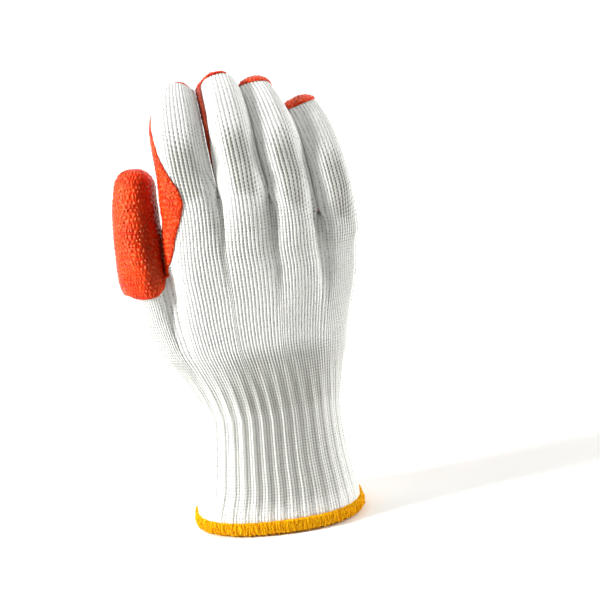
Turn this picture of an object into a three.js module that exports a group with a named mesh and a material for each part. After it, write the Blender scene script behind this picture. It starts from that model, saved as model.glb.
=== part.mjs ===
// Latex coated grip glove for the right hand, size 10, as it stands when a hand fills it. Millimetres.
// The origin is the centre of the wrist opening. +Z runs up the arm to the fingertips, the back of the
// hand faces -Y, the palm faces +Y and the thumb is on -X.
// One skin is worked out first: a tube of columns round the hand that branches into a thumb and four
// fingers. Every knitted piece and the latex film are then thickened out of that one skin.

import * as THREE from "three";

const { lerp, clamp, smoothstep, degToRad } = THREE.MathUtils;

// Layers. Each digit starts a root gap above the hand, measured along its stitches.
const KNIT_WALL = 1.6;
const PIECE_GAP = 0.3;
const ROOT_GAP = 0.6;
const LATEX_THICKNESS = 0.9;

// Heights
const CUFF_TOP = 66;
const THUMB_FORK = 138;

// How square a cross-section is: 2 is an ellipse
const HAND_SQUARENESS = 2.4;
const DIGIT_SQUARENESS = 2.15;

// Angle either side of the middle of a flank that its two facets cover, in degrees
const HAND_FLANK = 20;
const DIGIT_FLANK = 30;

// The digits across the hand. Left and right are where their backs end at the fork, and the forks are
// the heights at which they part from their neighbours. Roll turns a digit's back to the little side.
const DIGITS = [
  { name: "thumb", facets: 6, left: -68.5, right: -49.5, leftFork: 138, rightFork: 138, roll: -20 },
  { name: "index_finger", facets: 6, left: -43, right: -14.9, leftFork: 168, rightFork: 177, roll: -4 },
  { name: "middle_finger", facets: 5, left: -13, right: 10.5, leftFork: 177, rightFork: 171, roll: 3 },
  { name: "ring_finger", facets: 5, left: 13.4, right: 33.5, leftFork: 171, rightFork: 159, roll: 9 },
  { name: "little_finger", facets: 5, left: 38.2, right: 56.5, leftFork: 159, rightFork: 152, roll: 12 },
];

// Each digit's length and bends in degrees: curl is towards the palm and lean towards the little side.
const BENDS = {
  thumb: { length: 55, rootCurl: 11, firstCurl: 6, secondCurl: 6, lean: -2.5 },
  index_finger: { length: 70, rootCurl: 8, firstCurl: 30, secondCurl: 22, lean: -5 },
  middle_finger: { length: 73, rootCurl: 10, firstCurl: 32, secondCurl: 24, lean: -5 },
  ring_finger: { length: 80, rootCurl: 11, firstCurl: 32, secondCurl: 24, lean: -7 },
  little_finger: { length: 74, rootCurl: 14, firstCurl: 26, secondCurl: 20, lean: -5 },
};

// Shares of a digit's length over which its root, first and second joint bend
const ROOT_BEND = [0, 0.2];
const FIRST_BEND = [0.34, 0.52];
const SECOND_BEND = [0.62, 0.8];

// Each digit's half width and half depth at its root, its first joint and where its tip begins
const HALF_WIDTHS = {
  thumb: { root: 11.4, joint: 10.8, tip: 9.6 },
  index_finger: { root: 13.6, joint: 13.3, tip: 10.6 },
  middle_finger: { root: 11.8, joint: 11.4, tip: 10.2 },
  ring_finger: { root: 11.5, joint: 11.2, tip: 9.8 },
  little_finger: { root: 10.1, joint: 9.8, tip: 9.2 },
};
const HALF_DEPTHS = {
  thumb: { root: 12.4, joint: 11.5, tip: 9.8 },
  index_finger: { root: 12.6, joint: 11.8, tip: 9.8 },
  middle_finger: { root: 12.6, joint: 11.8, tip: 9.8 },
  ring_finger: { root: 12, joint: 11.2, tip: 9.4 },
  little_finger: { root: 11.2, joint: 10.4, tip: 8.8 },
};
const TO_JOINT = [0, 0.45];
const TO_TIP = [0.55, 0.9];

// Cross-sections of the hand below the thumb's fork
const LOWER_HAND = [
  { height: 66, thumbSide: -39, littleSide: 37.5, back: -25, palm: 24.5 },
  { height: 75, thumbSide: -43.5, littleSide: 39.5, back: -25, palm: 25.5 },
  { height: 86, thumbSide: -51, littleSide: 42.5, back: -24.5, palm: 27 },
  { height: 98, thumbSide: -59.5, littleSide: 45.5, back: -23.5, palm: 28 },
  { height: 111, thumbSide: -64.5, littleSide: 49, back: -22.5, palm: 27.5 },
  { height: 125, thumbSide: -67.5, littleSide: 52.5, back: -21.5, palm: 25 },
  { height: 138, thumbSide: -70, littleSide: 54.5, back: -21, palm: 22 },
];

// Cross-sections of the hand from the thumb's fork, at share 0, to the fingers' forks, at share 1
const UPPER_HAND = [
  { share: 0, thumbSide: -44.5, littleSide: 54.5, back: -21, palm: 21 },
  { share: 0.35, thumbSide: -44, littleSide: 56, back: -21, palm: 20 },
  { share: 0.7, thumbSide: -43.5, littleSide: 56.8, back: -20, palm: 18.5 },
  { share: 1, thumbSide: -43.5, littleSide: 56.8, back: -18.5, palm: 17.5 },
];

// Depth of the valleys that run down from each fork
const FINGER_VALLEY = 6.5;
const FINGER_VALLEY_REACH = 62;
const THUMB_VALLEY = 10;
const THUMB_VALLEY_REACH = 58;

// A branch takes its own form over this length, and a web rises this much between back and palm
const BRANCH_BLEND = 18;
const WEB_RISE = 2;

// Creases across the palm side of a digit, at these shares of its length
const CREASE_DEPTH = 1;
const CREASE_WIDTH = 0.09;
const CREASES = [0.43, 0.71];

// Pleats where the wide hand is drawn in to the cuff
const PLEAT_DEPTH = 0.9;
const PLEAT_REACH = 22;

// Rows of facets along a digit, then round its tip, as shares of the tip's length
const DIGIT_ROWS = 6;
const TIP_STEPS = [0.45, 0.76, 0.94];
const TIP_SQUARENESS = 2.3;

// Edges of the latex, as the sine of the angle round a section: 1 is mid palm, 0 a flank, -1 mid back
const LATEX_HAND_EDGE = 0.3;
const LATEX_FINGER_EDGE = 0.55;
const LATEX_GAP_EDGE = -0.4;
const LATEX_INDEX_ROOT_EDGE = -1;
const LATEX_INDEX_REACH = 0.72;
const LATEX_THUMB_SIDE_EDGE = -0.35;
const LATEX_KNUCKLE_EDGE = -0.85;
const LATEX_TIP_EDGE = -1.5;
const LATEX_TIP_WRAP = 0.16;

// Edges of the latex across the hand: its wavy lower edge and its rounded end on the thumb's back
const LATEX_CUFF_EDGE = 72;
const LATEX_WAVE = 1.5;
const LATEX_WAVES = 7;
const LATEX_THUMB_EDGE = 127;
const LATEX_THUMB_ROUNDING = 9;

// Height that counts as much as a full sine, and how near a corner an edge runs through that corner
const LATEX_HEIGHT_SCALE = 10;
const LATEX_SNAP = 0.22;

// Ribbed cuff
const HEM_TOP = 7.5;
const CUFF_EDGE = 3;
const RIB_COUNT = 36;
const RIB_HEIGHT = 1.1;
const RIB_FADE_START = 52;
const RIB_TOP_FADE = 0.8;
const CUFF_ROWS = 5;
const OUTLINE_POINTS = 48;
const CUFF = [
  { height: 8.5, thumbSide: -46.5, littleSide: 41.5, back: -30.5, palm: 30 },
  { height: 22, thumbSide: -42, littleSide: 39.5, back: -28, palm: 27.5 },
  { height: 36, thumbSide: -39.5, littleSide: 37.5, back: -26, palm: 25.5 },
  { height: 50, thumbSide: -37.5, littleSide: 36.5, back: -25, palm: 24.5 },
  { height: 60, thumbSide: -37, littleSide: 36.5, back: -25, palm: 24.5 },
  { height: 66, thumbSide: -39, littleSide: 37.5, back: -25, palm: 24.5 },
];

// Overlocked hem, a channel of thread over the cut edge of the cuff
const HEM_THREAD = 1.3;
const HEM_BEVEL = 1.1;
const HEM_SEGMENTS = 40;

const TURN = 2 * Math.PI;

// Value of every column of a table at one place, on a smooth curve through its rows
function readTable(rows, key, at) {
  const place = clamp(at, rows[0][key], rows[rows.length - 1][key]);
  let lower = 0;
  while (lower < rows.length - 2 && rows[lower + 1][key] <= place) lower += 1;
  const t = (place - rows[lower][key]) / (rows[lower + 1][key] - rows[lower][key]);
  const before = rows[Math.max(lower - 1, 0)];
  const after = rows[Math.min(lower + 2, rows.length - 1)];
  const result = {};
  for (const name of Object.keys(rows[0])) {
    const [a, b] = [rows[lower][name], rows[lower + 1][name]];
    const [leaving, arriving] = [(b - before[name]) / 2, (after[name] - a) / 2];
    result[name] = a + (b - a) * t * t * (3 - 2 * t) + t * (1 - t) * (leaving * (1 - t) - arriving * t);
  }
  return result;
}

const signedPower = (value, power) => Math.sign(value) * Math.abs(value) ** power;

// Point of a hand or cuff cross-section at an angle: 0 is the little side and a quarter turn the palm
function ovalPoint(section, angle, height, valley = 0) {
  const halfWidth = (section.littleSide - section.thumbSide) / 2;
  const halfDepth = (section.palm - section.back) / 2;
  const across = signedPower(Math.cos(angle), 2 / HAND_SQUARENESS);
  const deep = signedPower(Math.sin(angle), 2 / HAND_SQUARENESS);
  return new THREE.Vector3(
    (section.thumbSide + section.littleSide) / 2 + halfWidth * across,
    (section.back + section.palm) / 2 + halfDepth * deep - Math.sign(deep) * valley,
    height,
  );
}

// Angle at which a cross-section's back crosses a given X
function backAngle(section, x) {
  const middle = (section.thumbSide + section.littleSide) / 2;
  const share = clamp((x - middle) / ((section.littleSide - section.thumbSide) / 2), -1, 1);
  return TURN - Math.acos(signedPower(share, HAND_SQUARENESS / 2));
}

// The columns of a tube over some digits: angle, digit, place across the digit from -1 to 1, and fork.
// They run over the back to the little side, round that flank, back over the palm, and round the other.
function tubeColumns(digits, section) {
  const flank = degToRad(digits.length > 1 ? HAND_FLANK : DIGIT_FLANK);
  const back = [];
  digits.forEach((digit, order) => {
    const isFirst = order === 0;
    const isLast = order === digits.length - 1;
    const from = isFirst ? Math.PI + flank : backAngle(section, digit.left);
    const to = isLast ? TURN - flank : backAngle(section, digit.right);
    for (let facet = 0; facet <= digit.facets; facet += 1) {
      const share = facet / digit.facets;
      back.push({
        side: "back",
        angle: lerp(from, to, share),
        digit: digit.name,
        across: share * 2 - 1,
        hasFork: share < 0.5 ? !isFirst : !isLast,
        fork: lerp(digit.leftFork, digit.rightFork, share),
      });
    }
  });
  const palm = back.map((column) => ({ ...column, side: "palm", angle: TURN - column.angle })).reverse();
  const right = { ...back[back.length - 1], side: "flank", angle: TURN };
  const left = { ...back[0], side: "flank", angle: Math.PI };
  return [...back, right, ...palm, left];
}

// How deep a column lies in the valley beside its digit, from 0 on the ridge to 1 at the web
const valleyShare = (column) => (column.hasFork ? 1 - Math.sqrt(1 - column.across ** 2) : 0);

// The skin: points, what each point is, and triangles marked with their node
const skin = { points: [], facts: [], faces: [] };

function addPoint(point, fact) {
  skin.facts.push(fact);
  return skin.points.push(point) - 1;
}

function addQuad(node, a, b, c, d) {
  skin.faces.push({ node, corners: [a, b, c] }, { node, corners: [a, c, d] });
}

function joinLoops(node, lower, upper) {
  lower.forEach((start, index) => {
    const next = (index + 1) % lower.length;
    addQuad(node, start, lower[next], upper[next], upper[index]);
  });
}

// The lower hand, from the cuff to the thumb's fork
function growLowerHand() {
  const columns = tubeColumns(DIGITS, readTable(LOWER_HAND, "height", THUMB_FORK));
  let loop = null;
  for (const row of LOWER_HAND) {
    const belowThumb = clamp((THUMB_FORK - row.height) / THUMB_VALLEY_REACH, 0, 1);
    const belowFingers = (column) => clamp((column.fork - row.height) / FINGER_VALLEY_REACH, 0, 1);
    const pleat = PLEAT_DEPTH * (1 - smoothstep(row.height, CUFF_TOP, CUFF_TOP + PLEAT_REACH));
    const next = columns.map((column, index) => {
      const isThumbWeb = column.digit === "thumb" || (column.digit === "index_finger" && column.across < 0);
      const fingerDepth = FINGER_VALLEY * (1 - belowFingers(column)) ** 2;
      const depth = isThumbWeb ? THUMB_VALLEY * (1 - belowThumb) ** 2 : fingerDepth;
      const tuck = column.side !== "flank" && index % 2 === 1 ? pleat : 0;
      const point = ovalPoint(row, column.angle, row.height, depth * valleyShare(column) + tuck);
      return addPoint(point, { ...column, tube: "lower", height: row.height });
    });
    if (loop) joinLoops("hand_body", loop, next);
    loop = next;
  }
  return { columns, loop };
}

// Splits a tube's last loop into one loop for each group of digits, and closes the webs between them
function splitLoop(parent, groups) {
  const loops = groups.map((group) => {
    const chosen = parent.columns.map((column, index) => ({ column, index }));
    const inGroup = chosen.filter(({ column }) => column.side !== "flank" && group.includes(column.digit));
    const onSide = (side) => inGroup.filter(({ column }) => column.side === side);
    const [back, palm] = ["back", "palm"].map((side) => onSide(side).map(({ index }) => parent.loop[index]));
    return { back, palm, left: null, right: null };
  });
  loops[0].left = parent.loop[parent.loop.length - 1];
  loops[loops.length - 1].right = parent.loop[parent.columns.findIndex((column) => column.side === "flank")];
  for (let order = 0; order < loops.length - 1; order += 1) {
    const [near, far] = [loops[order], loops[order + 1]];
    const saddle = (top, bottom) => {
      const middle = skin.points[top].clone().lerp(skin.points[bottom], 0.5);
      middle.z += WEB_RISE;
      return addPoint(middle, { ...skin.facts[top], angle: 0, tube: "web", height: middle.z });
    };
    const nearBack = near.back[near.back.length - 1];
    near.right = saddle(nearBack, near.palm[0]);
    far.left = saddle(far.back[0], far.palm[far.palm.length - 1]);
    addQuad("hand_body", nearBack, far.back[0], far.left, near.right);
    addQuad("hand_body", near.right, far.left, far.palm[far.palm.length - 1], near.palm[0]);
  }
  return loops.map(({ back, right, palm, left }) => [...back, right, ...palm, left]);
}

// The upper hand, from the thumb's fork to the fingers' forks
function growUpperHand(root) {
  const fingers = DIGITS.slice(1);
  const columns = tubeColumns(fingers, readTable(UPPER_HAND, "share", 1));
  const rootPoints = root.map((index) => skin.points[index]);
  let loop = root;
  for (const row of UPPER_HAND.slice(1)) {
    const next = columns.map((column, index) => {
      const height = lerp(THUMB_FORK, column.fork, row.share);
      const valley = FINGER_VALLEY * (1 - clamp((column.fork - height) / FINGER_VALLEY_REACH, 0, 1)) ** 2;
      const own = ovalPoint(row, column.angle, height, valley * valleyShare(column));
      const carried = rootPoints[index].clone().setZ(height);
      const point = carried.lerp(own, smoothstep(height - THUMB_FORK, 0, BRANCH_BLEND));
      return addPoint(point, { ...column, tube: "upper", height });
    });
    joinLoops("hand_body", loop, next);
    loop = next;
  }
  return { columns, loop };
}

// Centre line of a digit from its root, with the directions across it and towards the palm
function digitLine(digit, start) {
  const bend = BENDS[digit.name];
  const roll = degToRad(digit.roll);
  const palmward = new THREE.Vector3(-Math.sin(roll), Math.cos(roll), 0);
  const upward = new THREE.Vector3(Math.sin(degToRad(bend.lean)), 0, Math.cos(degToRad(bend.lean)));
  const frames = [];
  const centre = start.clone();
  for (let run = 0; run <= bend.length; run += 1) {
    const share = run / bend.length;
    const degrees = bend.rootCurl * smoothstep(share, ...ROOT_BEND)
      + bend.firstCurl * smoothstep(share, ...FIRST_BEND)
      + bend.secondCurl * smoothstep(share, ...SECOND_BEND);
    const curl = degToRad(degrees);
    const along = upward.clone().multiplyScalar(Math.cos(curl)).addScaledVector(palmward, Math.sin(curl));
    along.normalize();
    const deep = palmward.clone().addScaledVector(along, -palmward.dot(along)).normalize();
    frames.push({ centre: centre.clone(), along, deep, across: deep.clone().cross(along) });
    centre.add(along);
  }
  return frames;
}

// A digit's half width or half depth at a share of its length
function digitGirth(girths, share) {
  const toJoint = lerp(girths.root, girths.joint, smoothstep(share, ...TO_JOINT));
  return lerp(toJoint, girths.tip, smoothstep(share, ...TO_TIP));
}

// How deep the creases are at a share of a digit's length
function creaseDepth(share) {
  return CREASES.reduce((sum, crease) => {
    return sum + CREASE_DEPTH * (1 - smoothstep(Math.abs(share - crease), 0, CREASE_WIDTH));
  }, 0);
}

// One digit, from its root loop to its closed tip
function growDigit(digit, root) {
  const { length } = BENDS[digit.name];
  const columns = tubeColumns([digit], null);
  const rootPoints = root.map((index) => skin.points[index].clone());
  const start = rootPoints.reduce((sum, point) => sum.add(point), new THREE.Vector3());
  start.divideScalar(rootPoints.length);
  const frames = digitLine(digit, start);
  const tipLength = HALF_WIDTHS[digit.name].tip;
  const bodyLength = length - tipLength;
  const stations = [];
  for (let row = 1; row <= DIGIT_ROWS; row += 1) {
    stations.push({ run: (bodyLength * row) / DIGIT_ROWS, closing: 1 });
  }
  for (const step of TIP_STEPS) {
    stations.push({ run: bodyLength + tipLength * step, closing: Math.sqrt(1 - step ** TIP_SQUARENESS) });
  }
  let loop = root;
  for (const { run, closing } of stations) {
    const frame = frames[Math.round(run)];
    const width = digitGirth(HALF_WIDTHS[digit.name], run / length) * closing;
    const backDepth = digitGirth(HALF_DEPTHS[digit.name], run / length);
    const palmDepth = backDepth - creaseDepth(run / length);
    const next = columns.map((column, index) => {
      const side = signedPower(Math.cos(column.angle), 2 / DIGIT_SQUARENESS) * width;
      const depth = (column.side === "palm" ? palmDepth : backDepth) * closing;
      const deep = signedPower(Math.sin(column.angle), 2 / DIGIT_SQUARENESS) * depth;
      const own = frame.centre.clone().addScaledVector(frame.across, side).addScaledVector(frame.deep, deep);
      const carried = rootPoints[index].clone().sub(start).add(frame.centre);
      const point = carried.lerp(own, smoothstep(run, 0, BRANCH_BLEND));
      return addPoint(point, { ...column, tube: "digit", share: run / length, height: point.z });
    });
    joinLoops(digit.name, loop, next);
    loop = next;
  }
  const end = frames[frames.length - 1].centre;
  const tipFact = { ...columns[0], tube: "digit", share: 1, angle: TURN / 4, height: end.z };
  const tip = addPoint(end.clone(), tipFact);
  loop.forEach((index, order) => {
    skin.faces.push({ node: digit.name, corners: [index, loop[(order + 1) % loop.length], tip] });
  });
}

// Grows the whole skin
function growSkin() {
  const lower = growLowerHand();
  const names = DIGITS.map(({ name }) => name);
  const [thumbRoot, handRoot] = splitLoop(lower, [names.slice(0, 1), names.slice(1)]);
  growDigit(DIGITS[0], thumbRoot);
  const upper = growUpperHand(handRoot);
  splitLoop(upper, names.slice(1).map((name) => [name])).forEach((root, order) => {
    growDigit(DIGITS[order + 1], root);
  });
  skin.normals = skin.points.map(() => new THREE.Vector3());
  for (const { corners } of skin.faces) {
    const [a, b, c] = corners.map((index) => skin.points[index]);
    const facing = b.clone().sub(a).cross(c.clone().sub(a));
    corners.forEach((index) => skin.normals[index].add(facing));
  }
  skin.normals.forEach((normal) => normal.normalize());
}

// One named mesh from points and triangles
function solid(name, points, triangles, look) {
  const geometry = new THREE.BufferGeometry();
  geometry.setAttribute("position", new THREE.Float32BufferAttribute(points.flatMap((p) => p.toArray()), 3));
  geometry.setIndex(triangles.flat());
  geometry.computeVertexNormals();
  const mesh = new THREE.Mesh(geometry, look);
  mesh.name = name;
  return mesh;
}

// A closed wall between two offsets of a piece of skin, with a rim along its open edges
function thicken(name, points, normals, triangles, inner, outer, look) {
  const used = [...new Set(triangles.flat())];
  const place = new Map(used.map((index, order) => [index, order]));
  const at = (index, offset) => points[index].clone().addScaledVector(normals[index], offset);
  const wall = [...used.map((index) => at(index, outer)), ...used.map((index) => at(index, inner))];
  const solidFaces = [];
  const edges = new Map();
  for (const triangle of triangles) {
    const [a, b, c] = triangle.map((index) => place.get(index));
    solidFaces.push([a, b, c], [a + used.length, c + used.length, b + used.length]);
    for (const [from, to] of [[a, b], [b, c], [c, a]]) {
      if (!edges.delete(`${to} ${from}`)) edges.set(`${from} ${to}`, [from, to]);
    }
  }
  for (const [from, to] of edges.values()) {
    solidFaces.push([to, from, from + used.length], [to, from + used.length, to + used.length]);
  }
  return solid(name, wall, solidFaces, look);
}

// A knitted node of the skin, its root drawn up a little where it meets the hand
function knitNode(name, look) {
  const triangles = skin.faces.filter(({ node }) => node === name).map(({ corners }) => corners);
  const points = skin.points.map((point) => point.clone());
  if (name !== "hand_body") {
    for (const [a, , c] of triangles) {
      const isRootEdge = skin.facts[a].tube !== "digit" && skin.facts[c].tube === "digit";
      if (!isRootEdge) continue;
      const rise = skin.points[c].clone().sub(skin.points[a]).setLength(ROOT_GAP);
      points[a].copy(skin.points[a]).add(rise);
    }
  }
  return thicken(name, points, skin.normals, triangles, -KNIT_WALL, 0, look);
}

// How far inside the latex a point of the skin is: below 0 the knit is bare
function latexReach(fact) {
  const sine = Math.sin(fact.angle);
  const isThumb = fact.digit === "thumb";
  const isIndexSide = fact.digit === "index_finger" && fact.across < 0;
  if (fact.tube === "web") return fact.height < THUMB_FORK + BRANCH_BLEND ? 1 : -LATEX_FINGER_EDGE;
  if (fact.tube === "digit") {
    if (isThumb) return 1;
    const fromRoot = isIndexSide ? clamp(fact.share / LATEX_INDEX_REACH, 0, 1) : 1;
    const isGapSide = fact.digit === "middle_finger" && fact.across < 0;
    const side = isGapSide ? LATEX_GAP_EDGE : lerp(LATEX_INDEX_ROOT_EDGE, LATEX_FINGER_EDGE, fromRoot);
    return sine - lerp(side, LATEX_TIP_EDGE, smoothstep(fact.share, 1 - LATEX_TIP_WRAP, 1));
  }
  if (fact.tube === "upper" && isIndexSide) {
    const bulge = smoothstep(fact.height, THUMB_FORK + BRANCH_BLEND, fact.fork);
    return sine - lerp(LATEX_THUMB_SIDE_EDGE, LATEX_KNUCKLE_EDGE, bulge);
  }
  const palm = sine - LATEX_HAND_EDGE;
  if (fact.tube === "upper") return palm;
  const wave = LATEX_WAVE * Math.sin(fact.angle * LATEX_WAVES);
  const overCuff = (fact.height - LATEX_CUFF_EDGE - wave) / LATEX_HEIGHT_SCALE;
  const thumbEdge = LATEX_THUMB_EDGE + LATEX_THUMB_ROUNDING * fact.across ** 2;
  const thumbPatch = isThumb ? (fact.height - thumbEdge) / LATEX_HEIGHT_SCALE : -1;
  return Math.max(Math.min(palm, overCuff), thumbPatch);
}

// The latex: the part of the skin inside its edge, cut along that edge, and thickened over the knit
function latexNode(name, look) {
  const level = skin.facts.map(latexReach);
  const points = [...skin.points];
  const normals = [...skin.normals];
  const faces = skin.faces.map(({ corners }) => corners);
  for (const [a, b, c] of faces) {
    for (const [from, to] of [[a, b], [b, c], [c, a]]) {
      if (level[from] * level[to] >= 0) continue;
      const crossing = level[from] / (level[from] - level[to]);
      if (crossing < LATEX_SNAP) level[from] = 0;
      if (crossing > 1 - LATEX_SNAP) level[to] = 0;
    }
  }
  const cuts = new Map();
  const cut = (from, to) => {
    const key = from < to ? `${from} ${to}` : `${to} ${from}`;
    if (!cuts.has(key)) {
      const share = level[from] / (level[from] - level[to]);
      normals.push(skin.normals[from].clone().lerp(skin.normals[to], share));
      cuts.set(key, points.push(skin.points[from].clone().lerp(skin.points[to], share)) - 1);
    }
    return cuts.get(key);
  };
  const triangles = [];
  for (const corners of faces) {
    if (!corners.some((index) => level[index] > 0)) continue;
    const outline = [];
    corners.forEach((from, order) => {
      const to = corners[(order + 1) % 3];
      if (level[from] >= 0) outline.push(from);
      if (level[from] * level[to] < 0) outline.push(cut(from, to));
    });
    for (let corner = 2; corner < outline.length; corner += 1) {
      triangles.push([outline[0], outline[corner - 1], outline[corner]]);
    }
  }
  return thicken(name, points, normals, triangles, PIECE_GAP, PIECE_GAP + LATEX_THICKNESS, look);
}

// Evenly spaced points round a cuff section, each with the level direction out of the cuff
function cuffOutline(height, count) {
  const section = readTable(CUFF, "height", height);
  const angles = Array.from({ length: OUTLINE_POINTS }, (_, index) => (index * TURN) / OUTLINE_POINTS);
  const curve = new THREE.CatmullRomCurve3(angles.map((angle) => ovalPoint(section, angle, height)), true);
  return Array.from({ length: count }, (_, index) => {
    const share = index / count;
    const tangent = curve.getTangentAt(share);
    const outward = new THREE.Vector3(tangent.y, -tangent.x, 0).normalize();
    return { point: curve.getPointAt(share), outward };
  });
}

// Joins equal loops of points into a closed body: a row for each loop, each row itself a closed ring
function weaveRings(rings) {
  const size = rings[0].length;
  const triangles = [];
  rings.forEach((ring, order) => {
    const nextRing = (order + 1) % rings.length;
    ring.forEach((_, index) => {
      const next = (index + 1) % size;
      const [a, b] = [order * size + index, order * size + next];
      const [c, d] = [nextRing * size + next, nextRing * size + index];
      triangles.push([a, b, c], [a, c, d]);
    });
  });
  return { points: rings.flat(), triangles };
}

// The ribbed cuff, a wall with a ridge for each rib that flattens into the hem
function ribCuff(look) {
  const top = CUFF_TOP - PIECE_GAP;
  const overHem = CUFF[0].height;
  const heights = [CUFF_EDGE];
  for (let row = 0; row <= CUFF_ROWS; row += 1) heights.push(lerp(overHem, top, row / CUFF_ROWS));
  const wall = (offset) => heights.map((height) => {
    const overHemFade = smoothstep(height, HEM_TOP, CUFF[1].height);
    const fade = overHemFade * (1 - RIB_TOP_FADE * smoothstep(height, RIB_FADE_START, top));
    return cuffOutline(height, RIB_COUNT * 2).map(({ point, outward }, index) => {
      const ridge = index % 2 === 0 ? -RIB_HEIGHT * fade : 0;
      return point.addScaledVector(outward, ridge + offset).setZ(height);
    });
  });
  const { points, triangles } = weaveRings([...wall(0), ...wall(-KNIT_WALL).reverse()]);
  return solid("rib_cuff", points, triangles, look);
}

// The hem, a channel of overlocking thread round the cut edge of the cuff
function hemChannel(look) {
  const slotFloor = CUFF_EDGE - PIECE_GAP;
  const outerFace = PIECE_GAP;
  const innerFace = -KNIT_WALL - PIECE_GAP;
  const profile = [
    { out: innerFace - HEM_THREAD, up: HEM_BEVEL },
    { out: innerFace, up: 0 },
    { out: outerFace, up: 0 },
    { out: outerFace + HEM_THREAD, up: HEM_BEVEL },
    { out: outerFace + HEM_THREAD, up: HEM_TOP - HEM_BEVEL },
    { out: outerFace + HEM_THREAD / 2, up: HEM_TOP },
    { out: outerFace, up: HEM_TOP },
    { out: outerFace, up: slotFloor },
    { out: innerFace, up: slotFloor },
    { out: innerFace, up: HEM_TOP },
    { out: innerFace - HEM_THREAD, up: HEM_TOP - HEM_BEVEL },
  ];
  const rings = profile.map(({ out, up }) => cuffOutline(CUFF[0].height, HEM_SEGMENTS)
    .map(({ point, outward }) => point.addScaledVector(outward, out).setZ(up)));
  const { points, triangles } = weaveRings(rings);
  return solid("hem", points, triangles, look);
}

const knit = () => new THREE.MeshStandardMaterial({ color: "#eeeeea", roughness: 0.95, metalness: 0 });
const thread = new THREE.MeshStandardMaterial({ color: "#f2b60c", roughness: 0.85, metalness: 0 });
const latex = new THREE.MeshStandardMaterial({ color: "#e8360a", roughness: 0.4, metalness: 0 });

growSkin();

const glove = new THREE.Group();
glove.name = "latex_coated_grip_glove";
glove.add(knitNode("hand_body", knit()));
for (const { name } of DIGITS) glove.add(knitNode(name, knit()));
glove.add(ribCuff(knit()));
glove.add(hemChannel(thread));
glove.add(latexNode("latex_coating", latex));

export default glove;
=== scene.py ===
"""Latex coated grip glove for the right hand, size 10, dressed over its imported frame.

The glove is one seamless string knit: a ribbed cuff that widens into the hand, a thumb and four
fingers. Palm, thumb and fingertips are dipped in crinkle latex, and the cut edge of the cuff is
overlocked with yellow thread. Sizes are in millimetres until a mesh is made.
"""

import logging
import math
from dataclasses import dataclass, field
from enum import Enum
from functools import partial
from typing import Any, Callable, Optional, Sequence

import bpy
import numpy as np
from mathutils import Matrix, Vector
from mathutils.kdtree import KDTree


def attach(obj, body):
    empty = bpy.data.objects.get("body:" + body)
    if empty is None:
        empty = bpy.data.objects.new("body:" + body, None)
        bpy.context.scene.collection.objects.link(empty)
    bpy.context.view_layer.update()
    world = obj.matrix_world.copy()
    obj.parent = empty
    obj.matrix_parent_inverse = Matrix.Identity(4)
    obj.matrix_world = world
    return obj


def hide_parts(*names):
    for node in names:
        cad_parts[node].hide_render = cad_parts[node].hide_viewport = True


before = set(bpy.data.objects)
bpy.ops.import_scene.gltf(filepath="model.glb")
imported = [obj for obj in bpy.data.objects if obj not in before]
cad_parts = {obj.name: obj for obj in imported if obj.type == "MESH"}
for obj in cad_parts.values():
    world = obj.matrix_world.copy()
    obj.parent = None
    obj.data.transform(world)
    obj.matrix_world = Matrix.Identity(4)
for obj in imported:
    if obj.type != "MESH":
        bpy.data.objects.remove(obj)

log = logging.getLogger("glove")

MM = 0.001
TURN = 2 * math.pi
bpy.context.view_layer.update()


class Tube(Enum):
    """The part of the knitted tube that a point of the skin lies on."""

    CUFF = 0
    HAND = 1
    UPPER = 2
    WEB = 3
    DIGIT = 4


class Side(Enum):
    """The side of the hand that a column of stitches runs over."""

    BACK = 0
    PALM = 1
    LITTLE_FLANK = 2
    THUMB_FLANK = 3


def smooth(value: Any, low: float, high: float) -> Any:
    """Rises smoothly from 0 at low to 1 at high.

    Args:
        value: A number or an array of numbers.
        low: Where the rise starts.
        high: Where the rise ends.

    Returns:
        The same shape as value.
    """
    share = np.clip((value - low) / (high - low), 0.0, 1.0)
    return share * share * (3 - 2 * share)


def mix(low: Any, high: Any, share: Any) -> Any:
    """Goes from low at share 0 to high at share 1."""
    return low + (high - low) * share


def window(value: Any, rise: tuple[float, float], fall: tuple[float, float]) -> Any:
    """Rises smoothly from 0 to 1 over one span and falls back to 0 over another."""
    return smooth(value, *rise) * (1 - smooth(value, *fall))


def signed_power(value: Any, power: float) -> Any:
    """Raises the size of a value to a power and keeps its sign."""
    return np.sign(value) * np.abs(value) ** power


def unit(vectors: np.ndarray) -> np.ndarray:
    """Gives every vector a length of 1."""
    return vectors / np.maximum(np.linalg.norm(vectors, axis=-1, keepdims=True), 1e-9)


def sunk(depth: float, reach: float, below: Any) -> Any:
    """How deep a valley is some way below its fork, where it is deepest. It runs out at its reach."""
    return depth * (1 - np.clip(below / reach, 0, 1)) ** 2


def run_along(trace: np.ndarray) -> np.ndarray:
    """How far along a trace of points each of them lies."""
    return np.concatenate([[0], np.cumsum(np.linalg.norm(np.diff(trace, axis=0), axis=1))])


def search_tree(points: Sequence[np.ndarray]) -> KDTree:
    """A tree that finds the nearest of some points.

    Args:
        points: The x, y and z of each point.

    Returns:
        The tree, which numbers the points in the order that they come in.
    """
    tree = KDTree(len(points))
    for order, point in enumerate(points):
        tree.insert(point, order)
    tree.balance()
    return tree


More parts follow.
